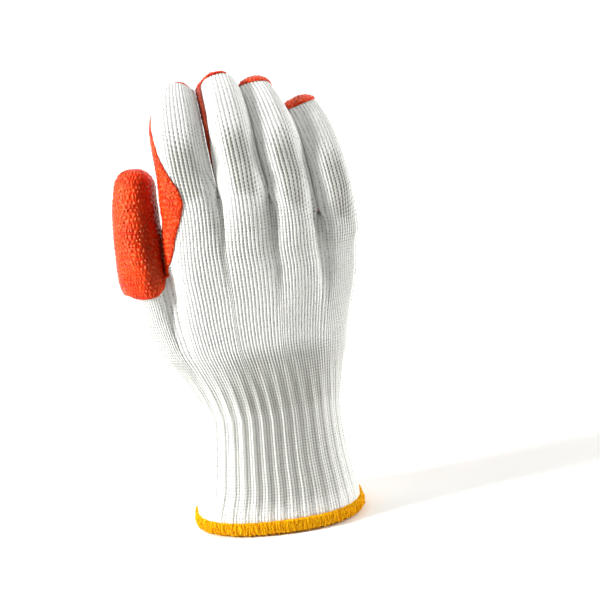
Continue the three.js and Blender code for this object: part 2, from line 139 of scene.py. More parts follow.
@dataclass(frozen=True)
class Section:
    """Cross-section of the hand or cuff at one place along it, in millimetres.

    It is an oval that is squarer than an ellipse, whose square is 2.
    """

    at: float
    thumb_side: float
    little_side: float
    back: float
    palm: float
    square: float = 2.4

    def oval(self, angle: np.ndarray, height: Any, valley: Any = 0.0) -> np.ndarray:
        """Points round the section.

        Args:
            angle: Angle of each point: 0 is the little side and a quarter turn the palm.
            height: Height of the points.
            valley: How far each point is drawn in from the back or palm.

        Returns:
            One row of x, y, z for each angle.
        """
        across = signed_power(np.cos(angle), 2 / self.square)
        deep = signed_power(np.sin(angle), 2 / self.square)
        x = (self.thumb_side + self.little_side) / 2 + (self.little_side - self.thumb_side) / 2 * across
        y = (self.back + self.palm) / 2 + (self.palm - self.back) / 2 * deep - np.sign(deep) * valley
        return np.stack([x, y, np.broadcast_to(height, x.shape)], axis=-1)

    def back_angle(self, x: float) -> float:
        """Angle at which the back of the section crosses a place.

        Args:
            x: The place, towards the little side.

        Returns:
            The angle.
        """
        middle = (self.thumb_side + self.little_side) / 2
        share = float(np.clip((x - middle) / ((self.little_side - self.thumb_side) / 2), -1, 1))
        return TURN - math.acos(float(signed_power(share, self.square / 2)))

    def even_angles(self, start: float, end: float, steps: int) -> np.ndarray:
        """Angles whose points lie evenly along the section's outline.

        Args:
            start: The first angle.
            end: The last angle.
            steps: How many steps to take between them.

        Returns:
            The angles, one more than the steps.
        """
        fine = np.linspace(start, end, 20 * steps + 1)
        run = run_along(self.oval(fine, 0.0))
        return np.interp(np.linspace(0, run[-1], steps + 1), run, fine)


@dataclass(frozen=True)
class SectionTable:
    """Cross-sections that a smooth curve runs through."""

    rows: tuple[Section, ...]

    def read(self, at: float) -> Section:
        """Reads the cross-section at any place along the table.

        Args:
            at: The place. Past an end of the table the section there is read.

        Returns:
            The section.
        """
        rows = self.rows
        place = min(max(at, rows[0].at), rows[-1].at)
        lower = 0
        while lower < len(rows) - 2 and rows[lower + 1].at <= place:
            lower += 1
        share = (place - rows[lower].at) / (rows[lower + 1].at - rows[lower].at)
        before, after = rows[max(lower - 1, 0)], rows[min(lower + 2, len(rows) - 1)]
        values = []
        for name in ("thumb_side", "little_side", "back", "palm"):
            low, high = getattr(rows[lower], name), getattr(rows[lower + 1], name)
            leaving, arriving = (high - getattr(before, name)) / 2, (getattr(after, name) - low) / 2
            bow = share * (1 - share) * (leaving * (1 - share) - arriving * share)
            values.append(low + (high - low) * share * share * (3 - 2 * share) + bow)
        return Section(place, *values)


@dataclass(frozen=True)
class Digit:
    """A thumb or finger, in millimetres and degrees. It curls to the palm and leans to the little side."""

    name: str
    facets: int
    left: float
    right: float
    left_fork: float
    right_fork: float
    roll: float
    length: float
    curls: tuple[float, float, float]
    lean: float
    half_widths: tuple[float, float, float]
    half_depths: tuple[float, float, float]
    bends: tuple[tuple[float, float], ...] = ((0, 0.2), (0.34, 0.52), (0.62, 0.8))
    to_joint: tuple[float, float] = (0, 0.45)
    to_tip: tuple[float, float] = (0.55, 0.9)
    step: float = 0.25

    def girth(self, sizes: tuple[float, float, float], share: float) -> float:
        """Half width or half depth at a share of the digit's length."""
        root = mix(sizes[0], sizes[1], smooth(share, *self.to_joint))
        return float(mix(root, sizes[2], smooth(share, *self.to_tip)))

    def line(self, start: np.ndarray) -> list[np.ndarray]:
        """Centre line of the digit.

        Args:
            start: Where the line starts.

        Returns:
            For each point the centre and the directions along, across and towards the palm.
        """
        roll, lean = math.radians(self.roll), math.radians(self.lean)
        palmward = np.array([-math.sin(roll), math.cos(roll), 0.0])
        upward = np.array([math.sin(lean), 0.0, math.cos(lean)])
        centre, frames = start.copy(), []
        for order in range(round(self.length / self.step) + 1):
            share = order * self.step / self.length
            degrees = sum(curl * smooth(share, *bend) for curl, bend in zip(self.curls, self.bends))
            curl = math.radians(float(degrees))
            along = unit(upward * math.cos(curl) + palmward * math.sin(curl))
            deep = unit(palmward - along * palmward.dot(along))
            frames.append(np.stack([centre, along, np.cross(deep, along), deep]))
            centre = centre + along * self.step
        return frames


@dataclass(frozen=True)
class Hand:
    """The size 10 hand that fills the glove, and how the knit lies on it."""

    digits: tuple[Digit, ...] = (
        Digit("thumb", 6, -68.5, -49.5, 138, 138, -20, 55, (11, 6, 6), -2.5,
              (11.4, 10.8, 9.6), (12.4, 11.5, 9.8)),
        Digit("index_finger", 6, -43, -14.9, 168, 177, -4, 70, (8, 30, 22), -5,
              (13.6, 13.3, 10.6), (12.6, 11.8, 9.8)),
        Digit("middle_finger", 5, -13, 10.5, 177, 171, 3, 73, (10, 32, 24), -5,
              (11.8, 11.4, 10.2), (12.6, 11.8, 9.8)),
        Digit("ring_finger", 5, 13.4, 33.5, 171, 159, 9, 80, (11, 32, 24), -7,
              (11.5, 11.2, 9.8), (12, 11.2, 9.4)),
        Digit("little_finger", 5, 38.2, 56.5, 159, 152, 12, 74, (14, 26, 20), -5,
              (10.1, 9.8, 9.2), (11.2, 10.4, 8.8)),
    )
    wrist: SectionTable = SectionTable((
        Section(8.5, -46.5, 41.5, -30.5, 30), Section(22, -42, 39.5, -28, 27.5),
        Section(36, -39.5, 37.5, -26, 25.5), Section(50, -37.5, 36.5, -25, 24.5),
        Section(60, -37, 36.5, -25, 24.5), Section(66, -39, 37.5, -25, 24.5),
        Section(75, -43.5, 39.5, -25, 25.5), Section(86, -51, 42.5, -24.5, 27),
        Section(98, -59.5, 45.5, -23.5, 28), Section(111, -64.5, 49, -22.5, 27.5),
        Section(125, -67.5, 52.5, -21.5, 25), Section(138, -70, 54.5, -21, 22),
    ))
    knuckles: SectionTable = SectionTable((
        Section(0, -44.5, 54.5, -21, 21), Section(0.35, -44, 56, -21, 20),
        Section(0.7, -43.5, 56.8, -20, 18.5), Section(1, -43.5, 56.8, -18.5, 17.5),
    ))
    cuff_edge: float = 3.0
    cuff_top: float = 66.0
    thumb_fork: float = 138.0
    knuckle_top: float = 165.0
    even_columns: tuple[float, float] = (50.0, 112.0)
    thumb_pressed_to: float = 154.0
    fingers_pressed_to: float = 300.0
    hand_flank: float = 20.0
    digit_flank: float = 30.0
    digit_square: float = 2.15
    tip_square: float = 2.3
    finger_valley: float = 9.0
    finger_valley_reach: float = 62.0
    thumb_valley: float = 10.0
    thumb_valley_reach: float = 58.0
    branch_blend: float = 18.0
    web_rise: float = 2.0
    creases: tuple[float, float] = (0.43, 0.71)
    crease_depth: float = 1.0
    crease_width: float = 0.09


@dataclass
class Columns:
    """The columns of one tube: where each runs, and what it is."""

    angle: np.ndarray
    digit: np.ndarray
    across: np.ndarray
    side: Any
    forked: Any = None
    fork: Any = None

    def valley_share(self) -> np.ndarray:
        """How deep each column lies beside its digit, from 0 on the ridge to 1 at the web."""
        return np.where(self.forked, 1 - np.sqrt(np.clip(1 - self.across**2, 0, 1)), 0.0)


@dataclass
class Skin:
    """The bare surface of the knit as points and quads, grown at one density.

    Columns follow the wales of the knit from the cuff to the fingertips. Every facet of the frame is two
    and a half wales wide and is split into the same number of columns. Wales are counted from the thumb's
    side of the whole hand, so that they meet where the tube branches. Four of them make a rib of the cuff.
    """

    hand: Hand
    split: int
    pitch: float
    course: float = 1.55
    wales: float = 2.5
    cuff_wales: float = 24 / 11
    points: Any = field(default_factory=list)
    normals: Any = None
    facts: Any = field(default_factory=list)
    quads: Any = field(default_factory=list)
    weave: Any = field(default_factory=list)
    tubes: Any = field(default_factory=list)
    edge: Any = None
    seam: Any = None
    count: int = 0

    def grow(self) -> "Skin":
        """Grows the whole skin, evens out its forks and works out which way it faces.

        Returns:
            The skin, with its lists of rows joined into arrays.
        """
        lower, columns = self.grow_wrist()
        thumb_root, hand_root = self.part(lower, columns, [[0], [1, 2, 3, 4]])
        self.grow_digit(0, thumb_root)
        upper, columns = self.grow_knuckles(hand_root)
        for digit, root in zip((1, 2, 3, 4), self.part(upper, columns, [[1], [2], [3], [4]])):
            self.grow_digit(digit, root)
        self.points = np.concatenate(self.points)
        names = ("tube", "digit", "angle", "across", "share", "wale", "course", "side", "turn")
        self.facts = {name: np.concatenate([row[name] for row in self.facts]) for name in names}
        self.quads, self.weave = np.concatenate(self.quads), np.concatenate(self.weave)
        self.tubes = np.concatenate(self.tubes)
        self.soften_forks()
        return self

    def on(self, *tubes: Tube) -> np.ndarray:
        """Which points lie on any of some tubes."""
        return np.isin(self.facts["tube"], [tube.value for tube in tubes])

    def over(self, *sides: Side) -> np.ndarray:
        """Which points lie on any of some sides."""
        return np.isin(self.facts["side"], [side.value for side in sides])

    def facets_before(self, number: int) -> int:
        """How many facets of the back lie on the thumb's side of a digit."""
        return sum(digit.facets + 1 for digit in self.hand.digits[:number])

    def wale(self, tube: Tube, place: np.ndarray, first: int) -> np.ndarray:
        """Wale at each place, counted in columns from a tube's first facet."""
        return (first + place / self.split) * (self.cuff_wales if tube is Tube.CUFF else self.wales)

    def add(self, points: np.ndarray, tube: Tube, columns: Any, share: Any, course: Any,
            first: int = 0) -> np.ndarray:
        """Adds a row of points with their facts.

        Args:
            points: One row of x, y, z for each point.
            tube: The tube they lie on.
            columns: Digit, angle, across and side of each point.
            share: Share of the digit's length at which they lie, or 0.
            course: How many courses of the knit lie below them.
            first: Number of the facet that the row starts at.

        Returns:
            The points' numbers.
        """
        size = len(points)
        fact = {"tube": tube.value, "digit": columns.digit, "angle": columns.angle, "across": columns.across,
                "share": share, "wale": self.wale(tube, np.arange(size), first), "course": course,
                "side": columns.side, "turn": np.arange(size) / size}
        self.facts.append({name: np.broadcast_to(value, (size,)).astype(float)
                           for name, value in fact.items()})
        self.points.append(points)
        self.count += size
        return np.arange(self.count - size, self.count)

    def courses(self, numbers: np.ndarray) -> np.ndarray:
        """How many courses lie below the points with these numbers."""
        return np.concatenate([row["course"] for row in self.facts])[numbers]

    def join(self, lower: np.ndarray, upper: np.ndarray, below: np.ndarray, above: np.ndarray,
             tube: Tube, closed: bool = True, first: int = 0) -> None:
        """Adds the quads between two rows of points.

        Args:
            lower: Numbers of the lower row.
            upper: Numbers of the upper row.
            below: Course of each point of the lower row.
            above: Course of each point of the upper row.
            tube: The tube that the quads belong to.
            closed: Whether the rows are loops.
            first: Number of the facet that the rows start at.
        """
        size = len(lower) if closed else len(lower) - 1
        here = np.arange(size)
        there = (here + 1) % len(lower)
        self.quads.append(np.stack([lower[here], lower[there], upper[there], upper[here]], axis=-1))
        left, right = self.wale(tube, here, first), self.wale(tube, here + 1, first)
        corners = [(left, below[here]), (right, below[there]), (right, above[there]), (left, above[here])]
        self.weave.append(np.stack([np.stack(corner, axis=-1) for corner in corners], axis=1))
        self.tubes.append(np.full(size, tube.value))

    def columns(self, numbers: Sequence[int], section: Optional[Section]) -> Columns:
        """Lays out the columns of a tube over some digits.

        Args:
            numbers: The digits' numbers, from the thumb's side.
            section: The section that places them, or None round a single digit.

        Returns:
            Columns over the back, the little side, the palm and the thumb's side.
        """
        hand, split, many = self.hand, self.split, len(numbers) > 1
        flank = math.radians(hand.hand_flank if many else hand.digit_flank)
        rows: list[tuple[float, ...]] = []
        for order, number in enumerate(numbers):
            digit = hand.digits[number]
            first, last = order == 0, order == len(numbers) - 1
            start = math.pi + flank if first else section.back_angle(digit.left)
            end = TURN - flank if last else section.back_angle(digit.right)
            if not first:
                before = rows[-1]
                for step in range(1, split):
                    share = step / split
                    nearer = (before[1], 1.0) if share < 0.5 else (number, -1.0)
                    fork = mix(before[4], digit.left_fork, share)
                    rows.append((mix(before[0], start, share), *nearer, 1.0, fork))
            steps = digit.facets * split
            angles = section.even_angles(start, end, steps) if section else np.linspace(start, end, steps + 1)
            for step, angle in enumerate(angles):
                share = step / steps
                forked = not first if share < 0.5 else not last
                fork = mix(digit.left_fork, digit.right_fork, share)
                rows.append((angle, number, share * 2 - 1, float(forked), fork))
        back = np.array(rows)
        palm = back[::-1].copy()
        palm[:, 0] = 2 * TURN - palm[:, 0]
        inner = np.linspace(-flank, flank, 2 * split + 1)[1:-1]
        right, left = np.tile(back[-1], (len(inner), 1)), np.tile(back[0], (len(inner), 1))
        right[:, 0], left[:, 0] = TURN + inner, 3 * math.pi + inner
        right[:, 3] = left[:, 3] = 0.0
        table = np.concatenate([back, right, palm, left])
        sides = [Side.BACK, Side.LITTLE_FLANK, Side.PALM, Side.THUMB_FLANK]
        lengths = [len(back), len(right), len(palm), len(left)]
        side = np.repeat([each.value for each in sides], lengths)
        return Columns(table[:, 0], table[:, 1], table[:, 2], side, table[:, 3] > 0.5, table[:, 4])

    def grow_wrist(self) -> tuple[np.ndarray, Columns]:
        """Grows the cuff and the hand up to the thumb's fork.

        Returns:
            The last loop of points and its columns.
        """
        hand = self.hand
        columns = self.columns(range(5), hand.wrist.read(hand.thumb_fork))
        # The outline is traced a little past its start, because the last columns lie there.
        spread = np.linspace(math.pi, 3.4 * math.pi, 900)
        size = len(columns.angle)
        even_share = (np.arange(size) + self.split) / size
        thumb_web = (columns.digit == 0) | ((columns.digit == 1) & (columns.across < 0))
        cuff_rows = round((hand.cuff_top - hand.cuff_edge) / self.pitch)
        hand_rows = round((hand.thumb_fork - hand.cuff_top) / self.pitch)
        heights = [*np.linspace(hand.cuff_edge, hand.cuff_top, cuff_rows + 1),
                   *np.linspace(hand.cuff_top, hand.thumb_fork, hand_rows + 1)[1:]]
        own_angle, loop, course = columns.angle, None, None
        for order, height in enumerate(heights):
            section = hand.wrist.read(height)
            run = run_along(section.oval(spread, height))
            whole = np.interp(3 * math.pi, spread, run)
            even = np.interp(even_share * whole, run, spread)
            columns.angle = mix(even, own_angle, smooth(height, *hand.even_columns))
            thumb_depth = sunk(hand.thumb_valley, hand.thumb_valley_reach, hand.thumb_fork - height)
            finger_depth = sunk(hand.finger_valley, hand.finger_valley_reach, columns.fork - height)
            depth = np.where(thumb_web, thumb_depth, finger_depth)
            points = section.oval(columns.angle, height, depth * columns.valley_share())
            tube = Tube.CUFF if order < cuff_rows else Tube.HAND
            above = np.full(size, height / self.course)
            numbers = self.add(points, tube, columns, 0.0, above)
            if loop is None:
                self.edge = numbers
            else:
                self.join(loop, numbers, course, above, Tube.CUFF if order <= cuff_rows else Tube.HAND)
            if order == cuff_rows:
                self.seam = numbers
            loop, course = numbers, above
        return loop, columns

    def part(self, loop: np.ndarray, columns: Columns, groups: list[list[int]]) -> list[np.ndarray]:
        """Parts a tube's last loop into one loop for each group of digits, and closes the webs between.

        Args:
            loop: The loop's points.
            columns: Its columns.
            groups: The digits' numbers in each group.

        Returns:
            One loop for each group: back, little side, palm, thumb's side.
        """
        split, points, courses = self.split, np.concatenate(self.points), self.courses(loop)
        size = len(loop)
        half = (size - 2 * (2 * split - 1)) // 2
        starts, ends = [], []
        place = 0
        for group in groups:
            starts.append(place)
            place += sum(self.hand.digits[number].facets * split for number in group)
            place += (len(group) - 1) * split
            ends.append(place)
            place += split
        opposite = 2 * half + 2 * split - 2
        sides = [[None, None] for _ in groups]
        sides[0][0] = loop[opposite + 1:]
        sides[-1][1] = loop[half:half + 2 * split - 1]
        share = np.linspace(0, 1, 2 * split + 1)
        swing = math.radians(self.hand.digit_flank) * (2 * share - 1)
        for order in range(len(groups) - 1):
            near, far = ends[order], starts[order + 1]
            rows = []
            for back in range(near, far + 1):
                palm = opposite - back
                line = mix(points[loop[back]], points[loop[palm]], share[:, None])
                line[:, 2] += self.hand.web_rise * 4 * share * (1 - share)
                web = Columns(swing[1:-1] + TURN, columns.digit[back], columns.across[back],
                              Side.LITTLE_FLANK.value)
                inner = self.add(line[1:-1], Tube.WEB, web, 0.0, courses[back])
                rows.append(np.concatenate([[loop[back]], inner, [loop[palm]]]))
            level = np.full(2 * split + 1, courses[near])
            for before, after in zip(rows, rows[1:]):
                self.join(before[::-1], after[::-1], level, level + 0.2, Tube.WEB, closed=False)
            sides[order][1], sides[order + 1][0] = rows[0][1:-1], rows[-1][1:-1][::-1]
        loops = []
        for start, end, (left, right) in zip(starts, ends, sides):
            palm = loop[opposite - np.arange(end, start - 1, -1)]
            loops.append(np.concatenate([loop[start:end + 1], right, palm, left]))
        return loops

    def grow_knuckles(self, root: np.ndarray) -> tuple[np.ndarray, Columns]:
        """Grows the hand from the thumb's fork to the fingers' forks.

        Args:
            root: The loop that it grows from.

        Returns:
            The last loop of points and its columns.
        """
        hand = self.hand
        columns = self.columns((1, 2, 3, 4), hand.knuckles.read(1))
        carried = np.concatenate(self.points)[root]
        rise = carried[:, 2] - hand.thumb_fork
        rows = round((hand.knuckle_top - hand.thumb_fork) / self.pitch)
        loop, course = root, self.courses(root)
        for order in range(1, rows + 1):
            share = order / rows
            height = mix(hand.thumb_fork, columns.fork, share)
            depth = sunk(hand.finger_valley, hand.finger_valley_reach, columns.fork - height)
            own = hand.knuckles.read(share).oval(columns.angle, height, depth * columns.valley_share())
            start = np.concatenate([carried[:, :2], (height + rise)[:, None]], axis=1)
            blend = smooth(height - hand.thumb_fork, 0, hand.branch_blend)[:, None]
            above = height / self.course
            first = self.facets_before(1)
            numbers = self.add(mix(start, own, blend), Tube.UPPER, columns, 0.0, above, first)
            self.join(loop, numbers, course, above, Tube.UPPER, first=first)
            loop, course = numbers, above
        return loop, columns

    def grow_digit(self, number: int, root: np.ndarray) -> None:
        """Grows one digit from its root loop to its closed tip.

        Args:
            number: The digit's number, from the thumb.
            root: The loop that it grows from.
        """
        hand, digit = self.hand, self.hand.digits[number]
        columns = self.columns((number,), None)
        carried = np.concatenate(self.points)[root]
        start = carried[::self.split].mean(axis=0)
        frames = digit.line(start)
        tip = digit.half_widths[2]
        body = digit.length - tip
        rows, tip_rows = round(body / self.pitch), max(3, round(tip * 1.5 / self.pitch))
        stations = [(body * row / rows, 1.0) for row in range(1, rows + 1)]
        for row in range(1, tip_rows):
            step = math.sin(math.pi / 2 * row / tip_rows)
            stations.append((body + tip * step, math.sqrt(1 - step**hand.tip_square)))
        loop, course, first = root, self.courses(root), self.facets_before(number)
        side = signed_power(np.cos(columns.angle), 2 / hand.digit_square)
        deep = signed_power(np.sin(columns.angle), 2 / hand.digit_square)
        for run, closing in stations:
            share = run / digit.length
            centre, _, across, inward = frames[round(run / digit.step)]
            width, depth = digit.girth(digit.half_widths, share), digit.girth(digit.half_depths, share)
            crease = sum(hand.crease_depth * (1 - smooth(abs(share - place), 0, hand.crease_width))
                         for place in hand.creases)
            depths = depth - crease * smooth(deep, 0.0, 0.5)
            sideways = np.outer(side * width * closing, across)
            own = centre + sideways + np.outer(deep * depths * closing, inward)
            moved = carried - start + centre
            above = self.courses(root) + run / self.course
            numbers = self.add(mix(moved, own, smooth(run, 0, hand.branch_blend)), Tube.DIGIT, columns,
                               share, above, first)
            self.join(loop, numbers, course, above, Tube.DIGIT, first=first)
            loop, course = numbers, above
        end = frames[-1][0][None, :]
        apex = Columns(np.array([TURN / 4]), columns.digit[:1], columns.across[:1], Side.PALM.value)
        top = np.full(len(loop), self.add(end, Tube.DIGIT, apex, 1.0, course[:1] + 1)[0])
        self.join(loop, top, course, course + 1, Tube.DIGIT, first=first)

    def even_out(self, values: np.ndarray, weight: np.ndarray, rounds: int) -> np.ndarray:
        """Draws values towards the mean of their neighbours.

        Args:
            values: One row of numbers for each point.
            weight: How far each point goes in one round, from 0 to 1.
            rounds: How many rounds.

        Returns:
            The evened values.
        """
        near = self.quads[(weight[self.quads] > 0).any(axis=1)]
        spots, place = np.unique(near, return_inverse=True)
        place = place.reshape(near.shape)
        here, there = (0, 1, 2, 3), (1, 2, 3, 0)
        ones = np.concatenate([place[:, corner] for corner in here + there])
        others = np.concatenate([place[:, corner] for corner in there + here])
        times = np.bincount(ones, minlength=len(spots))[:, None]
        local, share = values[spots], weight[spots][:, None]
        for _ in range(rounds):
            sums = [np.bincount(ones, local[others, axis], len(spots)) for axis in range(local.shape[1])]
            local = local + share * (np.stack(sums, axis=-1) / times - local)
        result = values.copy()
        moved = weight[spots] > 0
        result[spots[moved]] = local[moved]
        return result

    def soften_forks(self, near: float = 3.0, far: float = 11.0) -> None:
        """Rounds off the forks.

        Args:
            near: Distance from a web within which they are rounded most.
            far: Distance from a web beyond which the skin stays as it is.
        """
        tree = search_tree(self.points[self.on(Tube.WEB)])
        distance = np.array([tree.find(point)[2] for point in self.points])
        self.facts["fork_distance"] = distance
        # The finer the skin, the more rounds it takes to even out the same width of it.
        weight = 0.6 * (1 - smooth(distance, near, far))
        rounds = min(max(round(22 * (1.6 / self.pitch) ** 2), 3), 60)
        self.points = self.even_out(self.points, weight, rounds)
        self.normals = self.facing(self.points)

    def flank_pairs(self) -> list[tuple[np.ndarray, np.ndarray, float]]:
        """Finds the digits that lie side by side.

        Returns:
            The points of each two, and the height up to which they are pressed together. The thumb is
            pressed to the index at its root alone, so that a gap stays open above it.
        """
        digit, free = self.facts["digit"], self.on(Tube.DIGIT)
        index_side = (self.over(Side.THUMB_FLANK) | (self.facts["across"] < -0.3)) & (digit == 1)
        index_side &= self.on(Tube.DIGIT, Tube.UPPER)
        sides = [(free & (digit == 0), index_side, self.hand.thumb_pressed_to)]
        for number in (1, 2, 3):
            near, far = free & (digit == number), free & (digit == number + 1)
            sides.append((near, far, self.hand.fingers_pressed_to))
        return [(np.flatnonzero(near), np.flatnonzero(far), top) for near, far, top in sides]

    def press(self, padding: np.ndarray, rounds: int = 3, reach: float = 7.0, touch: float = 0.35) -> None:
        """Presses neighbouring digits together until they all but touch, as they lie on a filled hand.

        Args:
            padding: Room that the latex takes over each point.
            rounds: How many times the digits are drawn together.
            reach: The widest gap over which they are.
            touch: The gap that stays between them.
        """
        for _ in range(rounds):
            shift = np.zeros_like(self.points)
            for first, second, top in self.flank_pairs():
                for own, other in ((first, second), (second, first)):
                    tree = search_tree(self.points[other])
                    found = [tree.find(point) for point in self.points[own]]
                    nearest = other[[order for _, order, _ in found]]
                    away = self.points[nearest] - self.points[own]
                    distance = np.linalg.norm(away, axis=1)
                    ahead = (unit(away) * self.normals[own]).sum(axis=1)
                    room = touch + padding[own] + padding[nearest]
                    pull = smooth(ahead, 0.35, 0.8) * (1 - smooth(distance - room, 0.55 * reach, reach))
                    pull *= 1 - smooth(self.points[own][:, 2], top, top + 12)
                    shift[own] += unit(away) * (0.5 * (distance - room) * pull)[:, None]
            even = np.full(len(self.points), 0.5)
            self.points = self.points + self.even_out(shift, even, round(6 * (1.8 / self.pitch)))
            self.normals = self.facing(self.points)

    def facing(self, points: np.ndarray) -> np.ndarray:
        """Works out which way the skin faces.

        Args:
            points: Where the skin's points lie.

        Returns:
            The outward direction at each point, from the areas of the quads round it.
        """
        a, b, c, d = (points[self.quads[:, corner]] for corner in range(4))
        area = np.tile(np.cross(c - a, d - b), (4, 1))
        order = self.quads.T.ravel()
        sums = [np.bincount(order, area[:, axis], len(points)) for axis in range(3)]
        return unit(np.stack(sums, axis=-1))


def srgb(code: str) -> tuple[float, float, float, float]:
    """Turns a colour such as F0F0EE into the linear colour that Blender mixes."""
    parts = [int(code[place:place + 2], 16) / 255 for place in (0, 2, 4)]
    linear = [part / 12.92 if part <= 0.04045 else ((part + 0.055) / 1.055) ** 2.4 for part in parts]
    return (linear[0], linear[1], linear[2], 1.0)


def add_node(tree: Any, kind: str, inputs: Any = (), out: Any = 0, **settings: Any) -> Any:
    """Adds a node with its settings and links.

    Args:
        tree: The node tree.
        kind: The node's type, without the ShaderNode that its name begins with.
        inputs: For each input socket a value, or an output socket to link it to. They go by name or
            number in a dict, or in turn from the first socket in a tuple.
        out: The output socket to give back, by name or number.
        settings: The node's own settings.

    Returns:
        The output socket, or None on a node that has none.
    """
    node = tree.nodes.new("ShaderNode" + kind)
    for name, value in settings.items():
        setattr(node, name, value)
    for socket, value in inputs.items() if isinstance(inputs, dict) else enumerate(inputs):
        if isinstance(value, bpy.types.NodeSocket):
            tree.links.new(value, node.inputs[socket])
        else:
            node.inputs[socket].default_value = value
    return node.outputs[out] if len(node.outputs) else None


def new_material(name: str) -> tuple[bpy.types.Material, Callable[..., Any]]:
    """An empty material that uses nodes, and add_node for its tree."""
    material = bpy.data.materials.new(name)
    material.use_nodes = True
    material.node_tree.nodes.clear()
    return material, partial(add_node, material.node_tree)


@dataclass(frozen=True)
class StringKnit:
    """Bleached cotton string, knitted plain on a seamless glove machine.

    Wales stand as soft ridges about 2 mm apart. Each stitch is a V of hairy, unglazed yarn, so that the
    cloth is matt and white. Painted shade puts grey in the grooves and a dark pinhole where a stitch
    is pulled open.
    """

    lit: str = "F8F8F5"
    # The next two colours are painted shade: grey in grooves and open stitches, near black in pinholes.
    groove: str = "B4B4AA"
    pinhole: str = "45453D"
    yarn_mm: float = 0.35
    relief_mm: float = 0.38
    arm_slant: float = 1.3
    pinhole_from: float = 0.8
    pinhole_full: float = 1.7

    def material(self) -> bpy.types.Material:
        """Builds the material. It reads the Knit map, wales across and courses up, and opened."""
        material, node = new_material("bleached_cotton_string_knit")
        place = node("UVMap", uv_map="Knit")
        wale = node("SeparateXYZ", (place,))
        course = wale.node.outputs[1]
        inside = node("Math", (wale,), operation="FRACT")
        aside = node("Math", (inside, 0.5), operation="SUBTRACT")
        arm = node("Math", (aside,), operation="ABSOLUTE")
        slant = node("Math", (arm, self.arm_slant, course), operation="MULTIPLY_ADD")
        turned = node("Math", (slant, TURN), operation="MULTIPLY")
        loop = node("Math", (turned,), operation="SINE")
        stitch = node("Math", (loop, 0.5, 0.5), operation="MULTIPLY_ADD")
        crown = node("Math", (arm, -2.0, 1.0), operation="MULTIPLY_ADD")
        ridge = node("Math", (crown, 0.6), operation="POWER")
        where = node("TexCoord", out="Object")
        hair = node("TexNoise", {"Vector": where, "Scale": 1 / (self.yarn_mm * MM * 1.5), "Detail": 2.0,
                                 "Roughness": 0.6})
        body = node("Math", (stitch, 0.45, ridge), operation="MULTIPLY_ADD")
        rough = node("Math", (hair, 0.6, body), operation="MULTIPLY_ADD")
        bump = node("Bump", {"Height": rough, "Distance": self.relief_mm * MM, "Strength": 0.6})
        grain = node("MapRange", (hair, 0.35, 0.62, 0.25, 0.0))
        valley = node("MapRange", (arm, 0.22, 0.5, 0.0, 1.0), interpolation_type="SMOOTHSTEP")
        open_stitch_shade = node("Attribute", out="Fac", attribute_name="open_stitch_shade")
        pinhole_shade = self.pulled_open(node, place, valley, open_stitch_shade)
        # Painted shade: grey in the grooves and over open stitches, near black in the pinholes.
        shade = node("Math", (valley, 0.3, grain), operation="MULTIPLY_ADD")
        open_shade_grey = node("MapRange", (open_stitch_shade, 0.25, 1.0, 0.0, 0.55))
        grey = node("Math", (shade, open_shade_grey), operation="ADD")
        cloth = node("Mix", {0: grey, 6: srgb(self.lit), 7: srgb(self.groove)}, out=2, data_type="RGBA")
        colour = node("Mix", {0: pinhole_shade, 6: cloth, 7: srgb(self.pinhole)}, out=2, data_type="RGBA")
        shader = node("BsdfPrincipled", {"Base Color": colour, "Roughness": 0.92, "Specular IOR Level": 0.25,
                                         "Sheen Weight": 0.25, "Sheen Roughness": 0.5, "Normal": bump})
        node("OutputMaterial", {"Surface": shader})
        return material

    def pulled_open(self, node: Callable[..., Any], place: Any, valley: Any, open_stitch_shade: Any) -> Any:
        """Adds the nodes that find the open stitches, each by its own chance, whose gaps get painted shade.

        Args:
            node: Adds a node to the material.
            place: Wale and course.
            valley: How deep the point lies between two wales.
            open_stitch_shade: How often a stitch is pulled open here.

        Returns:
            How much of the pinhole's painted shade shows, from 0 to 1.
        """
        course = node("SeparateXYZ", (place,), out="Y")
        climb = node("Math", (course, TURN), operation="MULTIPLY")
        rung = node("Math", (climb,), operation="SINE")
        gap = node("MapRange", (rung, -0.35, 0.5, 0.0, 1.0))
        shifted = node("VectorMath", (place, (0.5, 0.0, 0.0)), operation="ADD")
        cell = node("VectorMath", (shifted,), operation="FLOOR")
        chance = node("TexWhiteNoise", {"Vector": cell}, out="Value")
        where = node("TexCoord", out="Object")
        drift = node("TexNoise", {"Vector": where, "Scale": 70.0, "Detail": 2.0})
        pull = node("Math", (chance, 0.7, open_stitch_shade), operation="MULTIPLY_ADD")
        patch = node("Math", (drift, 1.2, pull), operation="MULTIPLY_ADD")
        wide = node("MapRange", (patch, self.pinhole_from, self.pinhole_full, 0.0, 1.0))
        between = node("Math", (gap, valley), operation="MULTIPLY")
        return node("Math", (between, wide), operation="MULTIPLY")


